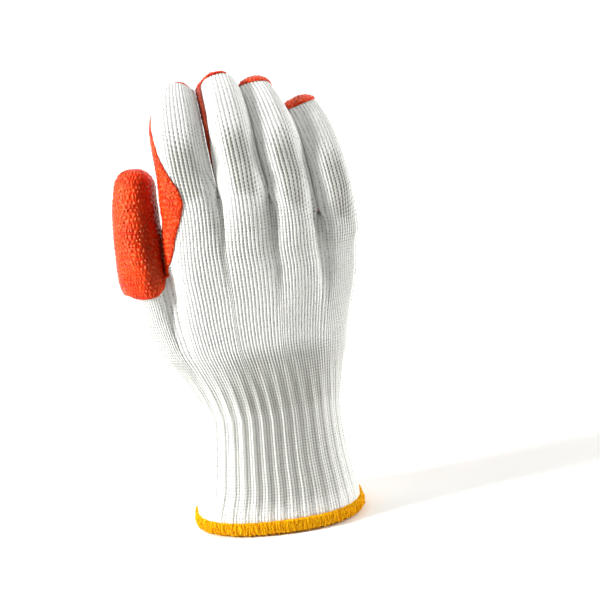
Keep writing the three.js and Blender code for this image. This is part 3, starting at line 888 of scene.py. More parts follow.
@dataclass(frozen=True)
class CrinkleLatex:
    """Natural rubber latex, dipped and crinkled while wet over a raised dot grip.

    It is glossy on the dots and wrinkles, and its red varies at random. The crowns of the dots are
    painted lighter orange as a painted highlight, and painted shade turns it deep red between the index
    and middle fingers and on the thumb's side towards the index.
    """

    lit: str = "F83402"
    deep: str = "D41200"
    # The next colour is a painted highlight: a lighter orange laid on the crowns of the raised dots.
    crown: str = "FF7A34"
    glint: str = "FFB070"
    # The next colour is painted shade: a deep red that darkens the latex between digits.
    shade_red: str = "7E0500"
    crinkle_mm: float = 1.3
    relief_mm: float = 0.75

    def material(self) -> bpy.types.Material:
        """Builds the material. It reads the dots' places from the Knit map, and where shade is painted."""
        material, node = new_material("crinkled_natural_rubber_latex")
        dot = self.raised_dot(node)
        where = node("TexCoord", out="Object")
        crinkle = node("TexNoise", {"Vector": where, "Scale": 1 / (self.crinkle_mm * MM), "Detail": 3.0,
                                    "Roughness": 0.65, "Distortion": 0.6})
        cloud = node("TexNoise", {"Vector": where, "Scale": 150.0, "Detail": 3.0})
        relief = node("Math", (crinkle, 0.9, dot), operation="MULTIPLY_ADD")
        bump = node("Bump", {"Height": relief, "Distance": self.relief_mm * MM, "Strength": 0.9})
        depth = node("MapRange", (cloud, 0.35, 0.65, 0.0, 1.0))
        film = node("Mix", {0: depth, 6: srgb(self.deep), 7: srgb(self.lit)}, out=2, data_type="RGBA")
        # Painted highlight: the dots' crowns are mixed towards the lighter orange.
        highlight_share = node("Math", (dot, 0.75), operation="MULTIPLY")
        highlighted = node("Mix", {0: highlight_share, 6: film, 7: srgb(self.crown)}, out=2, data_type="RGBA")
        # Painted shade: deep red laid between the index and middle fingers and on the thumb's side by the
        # index.
        painted_shade = node("Attribute", out="Fac", attribute_name="painted_shade")
        shade_share = node("Math", (painted_shade, 0.9), operation="MULTIPLY")
        colour = node("Mix", {0: shade_share, 6: highlighted, 7: srgb(self.shade_red)}, out=2, data_type="RGBA")
        gloss = node("MapRange", (crinkle, 0.3, 0.7, 0.24, 0.42))
        shader = node("BsdfPrincipled", {"Base Color": colour, "Roughness": gloss, "IOR": 1.52,
                                         "Specular IOR Level": 0.8, "Specular Tint": srgb(self.glint),
                                         "Normal": bump})
        node("OutputMaterial", {"Surface": shader})
        return material

    @staticmethod
    def raised_dot(node: Callable[..., Any]) -> Any:
        """Adds the nodes that find the raised dots, whose rows are set between one another.

        Args:
            node: Adds a node to the material.

        Returns:
            How high each point lies on a dot, from 0 to 1.
        """
        place = node("SeparateXYZ", (node("UVMap", uv_map="Knit"),))
        up = place.node.outputs[1]
        row = node("Math", (up,), operation="FLOOR")
        across = node("Math", (row, 0.5, place), operation="MULTIPLY_ADD")
        column = node("Math", (across,), operation="FLOOR")
        inside = node("CombineXYZ", (node("Math", (across,), operation="FRACT"),
                                     node("Math", (up,), operation="FRACT")))
        far = node("VectorMath", (inside, (0.5, 0.5, 0.0)), out="Value", operation="DISTANCE")
        number = node("CombineXYZ", (column, row))
        chance = node("TexWhiteNoise", {"Vector": number}, out="Value")
        round_dot = node("MapRange", (far, 0.42, 0.06, 0.0, 1.0), interpolation_type="SMOOTHSTEP")
        height = node("Math", (chance, 0.7, 0.3), operation="MULTIPLY_ADD")
        return node("Math", (round_dot, height), operation="MULTIPLY")


@dataclass(frozen=True)
class OverlockThread:
    """Textured polyester overlock thread, golden yellow, fluffed out so that it covers the cut edge."""

    lit: str = "FFCC00"
    deep: str = "D87400"
    ply_mm: float = 0.35

    def material(self) -> bpy.types.Material:
        """Builds the material in Object coordinates, because the fluff has no direction."""
        material, node = new_material("textured_polyester_thread")
        where = node("TexCoord", out="Object")
        fluff = node("TexNoise", {"Vector": where, "Scale": 1 / (self.ply_mm * MM * 2), "Detail": 3.0,
                                  "Roughness": 0.7})
        fleck = node("MapRange", (fluff, 0.38, 0.6, 0.0, 1.0))
        colour = node("Mix", {0: fleck, 6: srgb(self.deep), 7: srgb(self.lit)}, out=2, data_type="RGBA")
        bump = node("Bump", {"Height": fluff, "Distance": 0.3 * MM, "Strength": 0.7})
        shader = node("BsdfPrincipled", {"Base Color": colour, "Roughness": 0.9, "Specular IOR Level": 0.15,
                                         "Normal": bump})
        node("OutputMaterial", {"Surface": shader})
        return material


@dataclass(frozen=True)
class StudioPaper:
    """Seamless white background paper, matt, with a faint tooth."""

    tone: str = "FAFAF7"

    def material(self) -> bpy.types.Material:
        """Builds the material in Object coordinates."""
        material, node = new_material("matt_white_background_paper")
        where = node("TexCoord", out="Object")
        tooth = node("TexNoise", {"Vector": where, "Scale": 900.0, "Detail": 2.0})
        bump = node("Bump", {"Height": tooth, "Distance": 0.05 * MM, "Strength": 0.2})
        shader = node("BsdfPrincipled", {"Base Color": srgb(self.tone), "Roughness": 0.95,
                                         "Specular IOR Level": 0.1, "Normal": bump})
        node("OutputMaterial", {"Surface": shader})
        return material


def make_piece(name: str, points: np.ndarray, faces: Sequence[Sequence[int]], weave: Optional[np.ndarray],
               normals: Optional[np.ndarray] = None) -> bpy.types.Object:
    """Makes a mesh object at the origin from points in millimetres.

    Args:
        name: The piece's name.
        points: One row of x, y, z for each point.
        faces: The corners of each face, pointing outwards.
        weave: Wale and course of each face corner in turn, or None.
        normals: Direction that each point faces, or None to leave that to the faces.

    Returns:
        The object, linked to the scene and shaded smooth.
    """
    mesh = bpy.data.meshes.new(name)
    mesh.from_pydata((points * MM).tolist(), [], [tuple(map(int, face)) for face in faces])
    if weave is not None:
        layer = mesh.uv_layers.new(name="Knit")
        layer.data.foreach_set("uv", np.asarray(weave, dtype=np.float32).ravel())
    mesh.polygons.foreach_set("use_smooth", [True] * len(mesh.polygons))
    mesh.update()
    if normals is not None:
        mesh.normals_split_custom_set_from_vertices(normals.tolist())
    piece = bpy.data.objects.new(name, mesh)
    bpy.context.scene.collection.objects.link(piece)
    return piece


def add_measure(piece: bpy.types.Object, name: str, values: np.ndarray) -> None:
    """Stores a number for each point of a piece, which its material reads by name."""
    layer = piece.data.attributes.new(name, "FLOAT", "POINT")
    layer.data.foreach_set("value", values.astype(np.float32))


@dataclass
class KnitShell:
    """The knit: hand with thumb and fingers, and the ribbed cuff, as walls over one skin."""

    skin: Skin
    lining: Skin
    wall: float = 1.6
    wale_depth: float = 0.36
    rib_depth: float = 1.0
    ribs: int = 36
    rib_start: tuple[float, float] = (6, 15)
    rib_end: tuple[float, float] = (70, 96)
    band_holes: tuple[tuple[float, float], ...] = ((50, 72), (88, 104))
    cuff_holes: tuple[tuple[float, float], ...] = ((8, 20), (60, 75))
    hand_holes: tuple[tuple[float, float], ...] = ((135, 150), (160, 178))
    finger_holes: tuple[tuple[float, float], ...] = ((0.0, 0.1), (0.34, 0.48))

    def relief(self) -> np.ndarray:
        """How far each point of the skin is pushed in by the grooves of wales and ribs."""
        facts, height = self.skin.facts, self.skin.points[:, 2]
        trunk = self.skin.on(Tube.CUFF, Tube.HAND)
        calm = smooth(facts["fork_distance"], 0.5, 5.0)
        ridge = np.abs(np.sin(math.pi * facts["wale"]))
        closing = np.where(self.skin.on(Tube.DIGIT), 1 - smooth(facts["share"], 0.93, 1.0), 1.0)
        phase = np.mod(facts["turn"] * self.ribs, 1.0)
        groove = (0.5 - 0.5 * np.cos(TURN * (phase - 0.5))) ** 0.6
        ribbed = (1 - smooth(height, *self.rib_end)) * mix(0.35, 1.0, smooth(height, *self.rib_start))
        from_join = smooth(np.abs(height - self.skin.hand.cuff_top), 2, 9)
        plain = np.where(trunk, mix(1.0, 0.45, ribbed) * from_join, 1.0)
        wales = -self.wale_depth * plain * (1 - ridge) * calm * closing
        ribs = np.where(trunk, -self.rib_depth * groove * ribbed, 0.0)
        return wales + ribs

    def open_stitch_shade(self) -> np.ndarray:
        """How often a stitch is pulled open, from 0 to 1: over the knuckles and where the ribs begin."""
        # The knit paints the gaps of these open stitches with shade, most along the middle of the back.
        facts, height = self.skin.facts, self.skin.points[:, 2]
        back = self.skin.over(Side.BACK)
        centre = np.where(back, 1 - smooth(np.abs(self.skin.points[:, 0] - 6), 12, 34), 0.0)
        band = window(height, *self.band_holes) * (0.3 + 0.75 * centre)
        cuff = window(height, *self.cuff_holes) * (0.15 + 0.55 * centre)
        hand_back = np.where(back, window(height, *self.hand_holes) * 0.3, 0.0)
        finger_back = back & self.skin.on(Tube.DIGIT) & (facts["digit"] > 0)
        knuckle = np.where(finger_back, window(facts["share"], *self.finger_holes), 0.0)
        column = 1 - smooth(np.abs(facts["across"] - 0.12), 0.3, 0.6)
        return np.clip(0.12 + np.maximum(band, cuff) + hand_back + column * knuckle * 0.9, 0, 1)

    def build(self, name: str, tubes: Sequence[Tube]) -> bpy.types.Object:
        """Builds the wall over some of the skin's tubes.

        Args:
            name: The piece's name.
            tubes: The tubes that it covers.

        Returns:
            The piece, with its outer face shaded as one with its neighbour's.
        """
        skin, lining = self.skin, self.lining
        outer = skin.points + skin.normals * self.relief()[:, None]
        faces_out = skin.facing(outer)
        inner = lining.points - lining.normals * self.wall
        values = [tube.value for tube in tubes]
        out_quads = np.isin(skin.tubes, values)
        in_quads = np.isin(lining.tubes, values)
        shift = len(outer)
        faces = [tuple(dict.fromkeys(quad)) for quad in skin.quads[out_quads].tolist()]
        weave = self.corners(skin, out_quads)
        for quad in lining.quads[in_quads].tolist():
            faces.append(tuple(dict.fromkeys(index + shift for index in quad[::-1])))
        weave += self.corners(lining, in_quads, True)
        ratio = skin.split // lining.split
        rims = [(skin.seam, lining.seam, Tube.CUFF in tubes)]
        if Tube.CUFF in tubes:
            rims.append((skin.edge, lining.edge, False))
        for fine, coarse, faces_up in rims:
            for order, here in enumerate(coarse):
                there = coarse[(order + 1) % len(coarse)]
                run = [int(fine[(order * ratio + step) % len(fine)]) for step in range(ratio + 1)]
                rim = [here + shift, there + shift, *run[::-1]]
                faces.append(tuple(rim[::-1] if faces_up else rim))
                weave += [(0.0, 0.0)] * len(rim)
        points = np.concatenate([outer, inner])
        normals = np.concatenate([faces_out, -lining.normals])
        used = np.unique(np.concatenate([np.asarray(face) for face in faces]))
        number = np.full(len(points), -1)
        number[used] = np.arange(len(used))
        faces = [tuple(int(number[index]) for index in face) for face in faces]
        piece = make_piece(name, points[used], faces, np.array(weave), normals[used])
        # Stores the open stitches, whose gaps the knit paints with shade.
        add_measure(piece, "open_stitch_shade", np.concatenate([self.open_stitch_shade(), np.zeros(len(inner))])[used])
        return piece

    @staticmethod
    def corners(skin: Skin, chosen: np.ndarray, turned: bool = False) -> list[tuple[float, float]]:
        """Reads the weave of some quads, where a tip's quads are triangles.

        Args:
            skin: The skin that they belong to.
            chosen: Which of its quads.
            turned: Whether each goes the other way round.

        Returns:
            Wale and course of each corner in turn.
        """
        weave: list[tuple[float, float]] = []
        for quad, place in zip(skin.quads[chosen].tolist(), skin.weave[chosen].tolist()):
            pairs = list(dict(reversed(list(zip(quad, place)))).items())[::-1]
            weave += [tuple(value) for _, value in (pairs[::-1] if turned else pairs)]
        return weave


@dataclass
class LatexCoat:
    """The latex over palm, thumb, fingertips and the thumb's side of the index finger."""

    skin: Skin
    gap: float = 0.15
    thickness: float = 0.8
    lip: float = 0.12
    bead: float = 1.5
    dot_height: float = 0.38
    dot_rise: float = 2.35
    dots_per_wale: float = 0.8
    hand_edge: float = 0.3
    finger_edge: float = 0.55
    fork_edge: float = 0.85
    gap_edge: float = -0.3
    cap_starts: tuple[float, ...] = (0.0, 0.945, 0.89, 0.855, 0.835)
    cap_middles: tuple[float, ...] = (0.0, 0.8, -0.2, 0.15, -0.25)
    cuff_edge: float = 72.0
    outside: float = -50.0
    strip_mm: float = 13.0
    finger_mm: float = 12.0
    palm_mm: float = 14.0
    thumb_gap_top: float = 174.0
    thumb_edge: tuple[tuple[float, float], ...] = (
        (-1, 130), (-0.6, 128.8), (-0.2, 128.5), (0.3, 128.7), (0.8, 129.5), (1, 131.5))
    strip_edge: tuple[tuple[float, float], ...] = (
        (129, -2.2), (133, -1.7), (138, -1.05), (157, -0.75), (169, -0.36), (176, -0.19), (183, -0.24),
        (191, -0.55), (201, -0.9), (212, -1.09), (218, -1.2), (226, -1.27), (240, -1.3))

    def strip(self) -> np.ndarray:
        """How far in millimetres each point lies inside the strip up the thumb's side of the index."""
        facts = self.skin.facts
        flank = self.skin.over(Side.THUMB_FLANK)
        angle = np.mod(facts["angle"], TURN)
        swing = math.radians(self.skin.hand.digit_flank)
        around = np.where(flank, -1.25 + 0.25 * (angle - math.pi) / swing, facts["across"])
        limit = np.interp(self.skin.points[:, 2], *zip(*self.strip_edge))
        mine = (facts["digit"] == 1) & ((facts["across"] < 0) | flank)
        mine &= ~self.skin.over(Side.PALM, Side.LITTLE_FLANK)
        return np.where(mine, (limit - around) * self.strip_mm, self.outside)

    def reach(self) -> np.ndarray:
        """How far in millimetres, roughly, each point lies inside the latex. Below 0 the knit is bare."""
        skin, facts, points, hand = self.skin, self.skin.facts, self.skin.points, self.skin.hand
        height, sine, digit = points[:, 2], np.sin(facts["angle"]), facts["digit"].astype(int)
        thumb, free = facts["digit"] == 0, skin.on(Tube.DIGIT)
        across = np.where(skin.over(Side.THUMB_FLANK), -1.0, facts["across"])
        index_gap = (facts["digit"] == 2) & (across < 0)
        gap_edge = self.gap_edge - 0.3 * smooth(facts["share"], 0.1, 0.6)
        side = np.where(index_gap, gap_edge, self.finger_edge)
        lengths = np.array([each.length for each in hand.digits])[digit]
        cap_edge = np.array(self.cap_starts)[digit] + 0.07 * (across - np.array(self.cap_middles)[digit]) ** 2
        cap = np.where(free, (facts["share"] - cap_edge) * lengths, self.outside)
        finger = np.maximum((sine - side) * self.finger_mm, cap)
        palm = (sine - self.hand_edge) * self.palm_mm
        wave = 1.5 * np.sin(facts["angle"] * 7)
        over_cuff = height - self.cuff_edge - wave
        patch_edge = np.interp(facts["across"], *zip(*self.thumb_edge))
        thumb_patch = np.where(thumb & ~skin.over(Side.PALM), height - patch_edge, self.outside)
        trunk = np.maximum(np.minimum(palm, over_cuff), thumb_patch)
        thumb_web = height < hand.thumb_fork + hand.branch_blend
        web_side = np.where((height > self.thumb_gap_top) & (points[:, 0] < 0), 0.0, self.fork_edge)
        web = np.where(thumb_web, 5.0, (sine - web_side) * self.finger_mm)
        reach = np.select([free, skin.on(Tube.WEB), skin.on(Tube.UPPER)],
                          [np.where(thumb, self.finger_mm, finger), web, palm], trunk)
        return np.maximum(reach, self.strip())

    def build(self, name: str) -> bpy.types.Object:
        """Cuts the skin along the latex's edge and gives the film its thickness.

        Args:
            name: The piece's name.

        Returns:
            The piece, a closed film with a rounded edge.
        """
        skin, level = self.skin, self.reach()
        level = skin.even_out(level[:, None], np.full(len(level), 0.5), 6)[:, 0]
        level = np.where(np.abs(level) < 0.02, 0.02, level)
        points, normals, painted_shades, faces, weave = self.cut(level)
        rise = np.concatenate([self.dots(), np.zeros(len(points) - len(skin.points))])
        piece = self.thicken(name, np.array(points), unit(np.array(normals)), faces, weave, rise)
        used = sorted({index for face in faces for index in face})
        # The latex material reads this painted shade by name.
        add_measure(piece, "painted_shade", np.tile(np.array(painted_shades)[used], 2))
        return piece

    def cut(self, level: np.ndarray) -> tuple[list, list, list, list, list]:
        """Cuts the skin along the line where its level is 0.

        Args:
            level: How far inside the latex each point of the skin lies.

        Returns:
            The points, which way each faces, how much painted shade the latex has there, and the faces
            inside with the wale and course of their corners.
        """
        skin = self.skin
        points, normals, painted_shades = list(skin.points), list(skin.normals), list(self.painted_shade())
        cuts: dict[tuple[int, int], int] = {}
        faces, weave = [], []
        inside = level > 0
        touched = inside[skin.quads].any(axis=1)
        for quad, place in zip(skin.quads[touched].tolist(), skin.weave[touched]):
            face, marks = [], []
            for order, here in enumerate(quad):
                there = quad[(order + 1) % 4]
                if inside[here] and here not in face:
                    face.append(here)
                    marks.append(place[order])
                if inside[here] != inside[there]:
                    key = (min(here, there), max(here, there))
                    share = level[here] / (level[here] - level[there])
                    if key not in cuts:
                        cuts[key] = len(points)
                        points.append(mix(skin.points[here], skin.points[there], share))
                        normals.append(mix(skin.normals[here], skin.normals[there], share))
                        painted_shades.append(mix(painted_shades[here], painted_shades[there], share))
                    face.append(cuts[key])
                    marks.append(mix(place[order], place[(order + 1) % 4], share))
            if len(face) > 2:
                faces.append(face)
                weave.append(marks)
        return points, normals, painted_shades, faces, weave

    def painted_shade(self) -> np.ndarray:
        """Painted shade on the latex at each point, from 0 to 1: between index and middle, and on the thumb.
        """
        facts = self.skin.facts
        flank, back = self.skin.over(Side.LITTLE_FLANK), self.skin.over(Side.BACK)
        facing_index = self.skin.over(Side.THUMB_FLANK) | (back & (facts["across"] < 0))
        middle = (facts["digit"] == 2) & facing_index
        index = (facts["digit"] == 1) & flank
        upward = np.where(self.skin.on(Tube.DIGIT), facts["share"], 0.0)
        beside = np.where(flank, 1.0, smooth(facts["across"], 0.25, 0.85) * back)
        thumb = np.where(facts["digit"] == 0, 0.8 * beside * smooth(self.skin.points[:, 2], 128, 142), 0.0)
        between = 1 - smooth(upward, 0.72, 0.93)
        return np.where(middle | index, between, thumb * (1 - smooth(upward, 0.8, 1.0)))

    def padding(self) -> np.ndarray:
        """Room in millimetres that the film takes over each point of the skin."""
        return (self.gap + self.thickness + self.dot_height) * smooth(self.reach(), -2.0, 0.0)

    def dot_place(self, wale: np.ndarray, course: np.ndarray, points: np.ndarray) -> np.ndarray:
        """Finds places among the raised dots, which are stretched unevenly with the cloth.

        Args:
            wale: Wale of each point.
            course: Course of each point.
            points: The points in millimetres.

        Returns:
            How many dots across and how many rows up each point lies.
        """
        chance = np.random.default_rng(5)
        waves = unit(chance.normal(size=(6, 3))) * TURN / chance.uniform(4.0, 8.0, (6, 1))
        sway = np.sin(points @ waves.T + chance.uniform(0, TURN, 6)) * 0.13
        up = course * self.skin.course / self.dot_rise + sway[:, :3].sum(axis=1)
        return np.stack([wale * self.dots_per_wale + sway[:, 3:].sum(axis=1), up], axis=-1)

    def dots(self) -> np.ndarray:
        """Share of a raised dot's height at each point. Each row of dots is set between the last."""
        facts = self.skin.facts
        across, up = self.dot_place(facts["wale"], facts["course"], self.skin.points).T
        off = np.stack([np.mod(across + 0.5 * np.floor(up), 1.0), np.mod(up, 1.0)]) - 0.5
        return 1 - smooth(np.hypot(*off), 0.08, 0.45)

    def thicken(self, name: str, points: np.ndarray, normals: np.ndarray, faces: list, weave: list,
                rise: np.ndarray) -> bpy.types.Object:
        """Gives a cut piece of skin the film's thickness and the bead of its edge.

        Args:
            name: The piece's name.
            points: Points of the skin.
            normals: Direction that each faces.
            faces: The faces of the cut piece.
            weave: Wale and course of each face's corners.
            rise: Height of the dots at each point.

        Returns:
            The closed film.
        """
        edges: dict[tuple[int, int], bool] = {}
        for face in faces:
            for here, there in zip(face, face[1:] + face[:1]):
                if edges.pop((there, here), None) is None:
                    edges[(here, there)] = True
        rim_points = sorted({index for edge in edges for index in edge})
        tree = search_tree(points[rim_points])
        used = sorted({index for face in faces for index in face})
        number = {index: order for order, index in enumerate(used)}
        base, facing = points[used], normals[used]
        distance = np.array([tree.find(point)[2] for point in base])
        rounded = np.sqrt(1 - (1 - np.clip(distance / self.bead, 0, 1)) ** 2)
        dots = rise[used] * rounded
        lift = self.gap + self.lip + (self.thickness - self.lip) * rounded + self.dot_height * dots
        outer = base + facing * lift[:, None]
        inner = base + facing * self.gap
        size = len(used)
        shell = [[number[index] for index in face] for face in faces]
        marks = [mark for face in weave for mark in face]
        shell_in = [[index + size for index in face[::-1]] for face in shell]
        marks += [mark for face in weave for mark in face[::-1]]
        ends = [(number[here], number[there]) for here, there in edges]
        rim = [[there, here, here + size, there + size] for here, there in ends]
        corners = [index % size for face in shell + shell_in for index in face]
        places = self.dot_place(*np.array(marks).T, base[corners])
        places = np.concatenate([places, np.zeros((4 * len(rim), 2))])
        return make_piece(name, np.concatenate([outer, inner]), shell + shell_in + rim, places)


@dataclass
class OverlockHem:
    """The overlocked hem: a padded edge and the threads that are thrown over it."""

    hand: Hand
    height: float = 7.5
    wall: float = 1.6
    gap: float = 0.3
    cover: float = 1.3
    pitch: float = 1.0
    thread: float = 0.42
    length: float = 230.0
    lean: float = 0.7
    ply_width: float = 1.15
    slip: float = 0.6
    drift: float = 0.35
    loose: float = 0.42
    thread_sides: int = 5
    thread_steps: int = 11
    edge_steps: int = 180
    edge_sides: int = 16

    def outline(self, count: int) -> tuple[np.ndarray, np.ndarray, np.ndarray]:
        """Even points round the hem.

        Args:
            count: How many.

        Returns:
            The points, the level directions out of the hem and those along it.
        """
        angle = np.linspace(0, TURN, 1441)
        trace = self.hand.wrist.read(8.5).oval(angle, 0.0)
        run = run_along(trace)
        wanted = np.arange(count) / count * run[-1]
        points = np.stack([np.interp(wanted, run, trace[:, axis]) for axis in range(3)], axis=-1)
        along = unit(np.roll(points, -1, axis=0) - np.roll(points, 1, axis=0))
        return points, np.stack([along[:, 1], -along[:, 0], along[:, 2]], axis=-1), along

    def section(self) -> tuple[float, float, float]:
        """How far out the middle of the padded edge lies, its half width and its half height."""
        half = (self.wall + 2 * self.gap + 2 * self.cover) / 2 - self.thread
        return self.gap + self.cover - self.thread - half, half, self.height / 2 - self.thread

    def profile(self, share: np.ndarray) -> np.ndarray:
        """Points over the hem's edge, from the top of its outer face at 0 to that of its inner face at 1.

        Args:
            share: Place of each point.

        Returns:
            One row of out and up for each share.
        """
        turn = (share - 0.5) * 1.72 * math.pi
        middle, half, tall = self.section()
        out = middle - half * signed_power(np.sin(turn), 0.8)
        up = self.height / 2 - tall * signed_power(np.cos(turn), 0.55)
        return np.stack([out, up], axis=-1)

    def padded_edge(self) -> bpy.types.Object:
        """The edge under the threads: a torus laid round the cuff and squared to the hem's section."""
        around, about = self.edge_steps, self.edge_sides
        bpy.ops.object.select_all(action="DESELECT")
        bpy.ops.mesh.primitive_torus_add(major_segments=around, minor_segments=about, major_radius=0.044,
                                         minor_radius=0.004)
        piece = bpy.context.object
        points, outward, _ = self.outline(around)
        turn = np.arange(about) / about * TURN
        middle, half, tall = self.section()
        out = middle + half * signed_power(np.cos(turn), 0.75)
        up = self.height / 2 + tall * signed_power(np.sin(turn), 0.6)
        for vertex in piece.data.vertices:
            major, minor = divmod(vertex.index, about)
            spot = points[major] + outward[major] * out[minor]
            vertex.co = (spot[0] * MM, spot[1] * MM, up[minor] * MM)
        return piece

    def stitches(self) -> tuple[np.ndarray, list]:
        """The threads over the edge.

        Returns:
            Their points in millimetres and their faces.
        """
        sides, steps = self.thread_sides, self.thread_steps
        count = round(self.length / self.pitch)
        points, outward, along = self.outline(count)
        share = np.linspace(0.0, 1.0, steps)
        path = self.profile(share)
        ahead = unit(np.gradient(path, axis=0))
        lean = mix(-self.lean, self.lean, share) * self.pitch
        ring = np.arange(sides) / sides * TURN
        rows, faces = [], []
        chance = np.random.default_rng(11)
        for order in range(count):
            slip = chance.normal(0.0, self.slip, steps) + chance.normal(0.0, self.drift)
            loose = np.abs(chance.normal(0.0, self.loose, steps)) * np.sin(math.pi * share) ** 0.5
            for step in range(steps):
                facing = np.array([-ahead[step][1], ahead[step][0]])
                out, up = path[step] + facing * loose[step]
                centre = points[order] + outward[order] * out + along[order] * (lean[step] + slip[step])
                centre[2] = max(up, self.thread)
                for angle in ring:
                    swell = self.thread * math.cos(angle)
                    aside = along[order] * self.thread * self.ply_width * math.sin(angle)
                    spot = centre + outward[order] * facing[0] * swell + aside
                    spot[2] += facing[1] * swell
                    rows.append(spot)
            faces += self.thread_faces(order * steps * sides)
        return np.array(rows), faces

    def thread_faces(self, base: int) -> list[tuple[int, ...]]:
        """Finds the faces of one thread, a tube with closed ends.

        Args:
            base: The number of its first point.

        Returns:
            The corners of each face.
        """
        sides, steps = self.thread_sides, self.thread_steps
        rings = [[base + step * sides + turn for turn in range(sides)] for step in range(steps)]
        faces = []
        for below, above in zip(rings, rings[1:]):
            for turn in range(sides):
                near, far = turn, (turn + 1) % sides
                faces.append((below[near], below[far], above[far], above[near]))
        return [*faces, tuple(rings[0][::-1]), tuple(rings[-1])]

    def build(self, name: str) -> bpy.types.Object:
        """Builds the hem as one piece.

        Args:
            name: The piece's name.

        Returns:
            The piece, with threads and padded edge joined.
        """
        edge = self.padded_edge()
        rows, faces = self.stitches()
        threads = make_piece(name + "_threads", rows, faces, None)
        bpy.ops.object.select_all(action="DESELECT")
        threads.select_set(True)
        edge.select_set(True)
        bpy.context.view_layer.objects.active = edge
        bpy.ops.object.join()
        bpy.ops.object.mode_set(mode="EDIT")
        bpy.ops.mesh.select_all(action="SELECT")
        bpy.ops.mesh.normals_make_consistent(inside=False)
        bpy.ops.object.mode_set(mode="OBJECT")
        edge.name = edge.data.name = name
        settle(edge)
        return edge


def settle(piece: bpy.types.Object) -> None:
    """Puts a piece's place in its mesh and shades it smooth."""
    bpy.ops.object.select_all(action="DESELECT")
    piece.select_set(True)
    bpy.context.view_layer.objects.active = piece
    bpy.ops.object.transform_apply(location=True, rotation=True, scale=True)
    bpy.ops.object.shade_smooth()


@dataclass(frozen=True)
class SoftBox:
    """One soft box, in metres, watts and degrees. A honeycomb in front of it narrows its spread."""

    name: str
    spot: tuple[float, float, float]
    aim: tuple[float, float, float]
    size: tuple[float, float]
    power: float
    spread: float = 180.0

    def place(self) -> None:
        """Adds the light to the scene, turned to what it points at."""
        lamp = bpy.data.lights.new(self.name, "AREA")
        lamp.shape, lamp.size, lamp.size_y, lamp.energy = "RECTANGLE", *self.size, self.power
        lamp.spread = math.radians(self.spread)
        box = bpy.data.objects.new(self.name, lamp)
        box.location = self.spot
        box.rotation_euler = (Vector(self.aim) - Vector(self.spot)).to_track_quat("-Z", "Y").to_euler()
        bpy.context.scene.collection.objects.link(box)


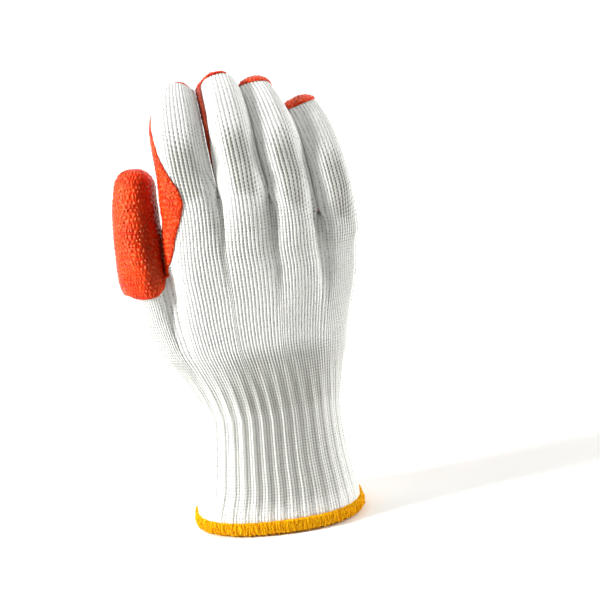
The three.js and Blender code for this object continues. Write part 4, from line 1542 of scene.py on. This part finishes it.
@dataclass
class Studio:
    """The sweep of paper, the soft lights and the camera, in metres."""

    target: Vector = field(default_factory=lambda: Vector((0.0, 0.0, 0.118)))
    distance: float = 0.7
    elevation: float = 13.0
    roll: float = -7.0
    focal_pixels: float = 1340.0
    frame_pixels: float = 600.0
    shift: float = 41 / 600
    boxes: tuple[SoftBox, ...] = (
        SoftBox("key_softbox", (-1.05, -0.22, 0.62), (0.0, 0.0, 0.14), (0.22, 0.3), 1.9, 50.0),
        SoftBox("right_softbox", (1.1, 0.0, 0.4), (0.0, 0.0, 0.13), (0.3, 0.6), 1.0, 50.0),
        SoftBox("ceiling_softbox", (0.0, 0.8, 2.4), (0.0, 0.8, 0.0), (4.4, 4.0), 44.0),
        SoftBox("paper_light_left", (-1.7, 1.0, 1.2), (-1.25, 2.6, 0.1), (1.4, 1.2), 40.0),
        SoftBox("paper_light_right", (1.7, 1.0, 1.2), (1.25, 2.6, 0.1), (1.4, 1.2), 40.0),
    )
    paper_width: float = 6.0
    wall_height: float = 3.0
    bend_width: float = 1.2
    fill: float = 0.15

    def sweep(self) -> None:
        """Makes a floor whose far edge is drawn up into a wall, with the bend rounded."""
        bpy.ops.object.select_all(action="DESELECT")
        bpy.ops.mesh.primitive_plane_add(size=self.paper_width, location=(0.0, 0.0, -0.0006))
        floor = bpy.context.object
        floor.name = floor.data.name = "paper_sweep"
        bpy.ops.object.mode_set(mode="EDIT")
        bpy.ops.mesh.select_mode(type="EDGE")
        bpy.ops.mesh.select_all(action="DESELECT")
        bpy.ops.object.mode_set(mode="OBJECT")
        for edge in floor.data.edges:
            ends = [floor.data.vertices[index].co.y for index in edge.vertices]
            edge.select = min(ends) > 0.9 * self.paper_width / 2
        bpy.ops.object.mode_set(mode="EDIT")
        bpy.ops.mesh.extrude_region_move(TRANSFORM_OT_translate={"value": (0.0, 0.0, self.wall_height)})
        bpy.ops.object.mode_set(mode="OBJECT")
        bend = floor.modifiers.new("bend", "BEVEL")
        bend.width, bend.segments, bend.limit_method = self.bend_width, 16, "ANGLE"
        bpy.ops.object.modifier_apply(modifier=bend.name)
        settle(floor)
        floor.data.materials.append(StudioPaper().material())

    def camera(self) -> None:
        """Places the camera at the photographed angle."""
        up_angle, roll = math.radians(self.elevation), math.radians(self.roll)
        forward = Vector((0.0, math.cos(up_angle), -math.sin(up_angle)))
        right = Vector((1.0, 0.0, 0.0))
        up = right.cross(forward)
        across = right * math.cos(roll) + up * math.sin(roll)
        upward = up * math.cos(roll) - right * math.sin(roll)
        lens = bpy.data.cameras.new("camera")
        lens.sensor_width = 36.0
        lens.sensor_fit = "HORIZONTAL"
        lens.lens = self.focal_pixels / self.frame_pixels * lens.sensor_width
        lens.shift_x = self.shift
        eye = bpy.data.objects.new("camera", lens)
        axes = Matrix((across, upward, -forward)).transposed().to_4x4()
        eye.matrix_world = Matrix.Translation(self.target - forward * self.distance) @ axes
        bpy.context.scene.collection.objects.link(eye)
        bpy.context.scene.camera = eye

    def build(self) -> None:
        """Sets up paper, lights, surroundings and camera."""
        self.camera()
        self.sweep()
        for box in self.boxes:
            box.place()
        scene = bpy.context.scene
        scene.world = scene.world or bpy.data.worlds.new("surroundings")
        scene.world.use_nodes = True
        nodes = scene.world.node_tree.nodes
        back = nodes.get("Background") or nodes.new("ShaderNodeBackground")
        back.inputs[0].default_value = (1.0, 1.0, 1.0, 1.0)
        back.inputs[1].default_value = self.fill
        scene.view_settings.view_transform = "Standard"
        scene.view_settings.look = "None"


def main() -> None:
    """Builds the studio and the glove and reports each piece."""
    logging.basicConfig(level=logging.INFO, format="%(name)s: %(message)s")
    Studio().build()
    hand = Hand()
    skin = Skin(hand, split=10, pitch=1.9).grow()
    lining = Skin(hand, split=2, pitch=5.0).grow()
    dipped = Skin(hand, split=8, pitch=1.05).grow()
    for each in (skin, lining, dipped):
        each.press(LatexCoat(each).padding())
    shell = KnitShell(skin, lining)
    knit, latex, thread = StringKnit().material(), CrinkleLatex().material(), OverlockThread().material()
    plan = (
        (shell.build("knitted_hand", (Tube.HAND, Tube.UPPER, Tube.WEB, Tube.DIGIT)), knit, "string_knit",
         ("hand_body", "thumb", "index_finger", "middle_finger", "ring_finger", "little_finger")),
        (shell.build("ribbed_cuff", (Tube.CUFF,)), knit, "rib_knit", ("rib_cuff",)),
        (LatexCoat(dipped).build("latex_coat"), latex, "crinkle_latex", ("latex_coating",)),
        (OverlockHem(hand).build("overlocked_hem"), thread, "overlock_thread", ("hem",)),
    )
    for piece, finish, slot, nodes in plan:
        piece.data.materials.clear()
        piece.data.materials.append(finish)
        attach(piece, "root")
        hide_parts(*nodes)
        piece.data.calc_loop_triangles()
        log.info("%s: %d triangles", piece.name, len(piece.data.loop_triangles))


if __name__ == "__main__":
    main()
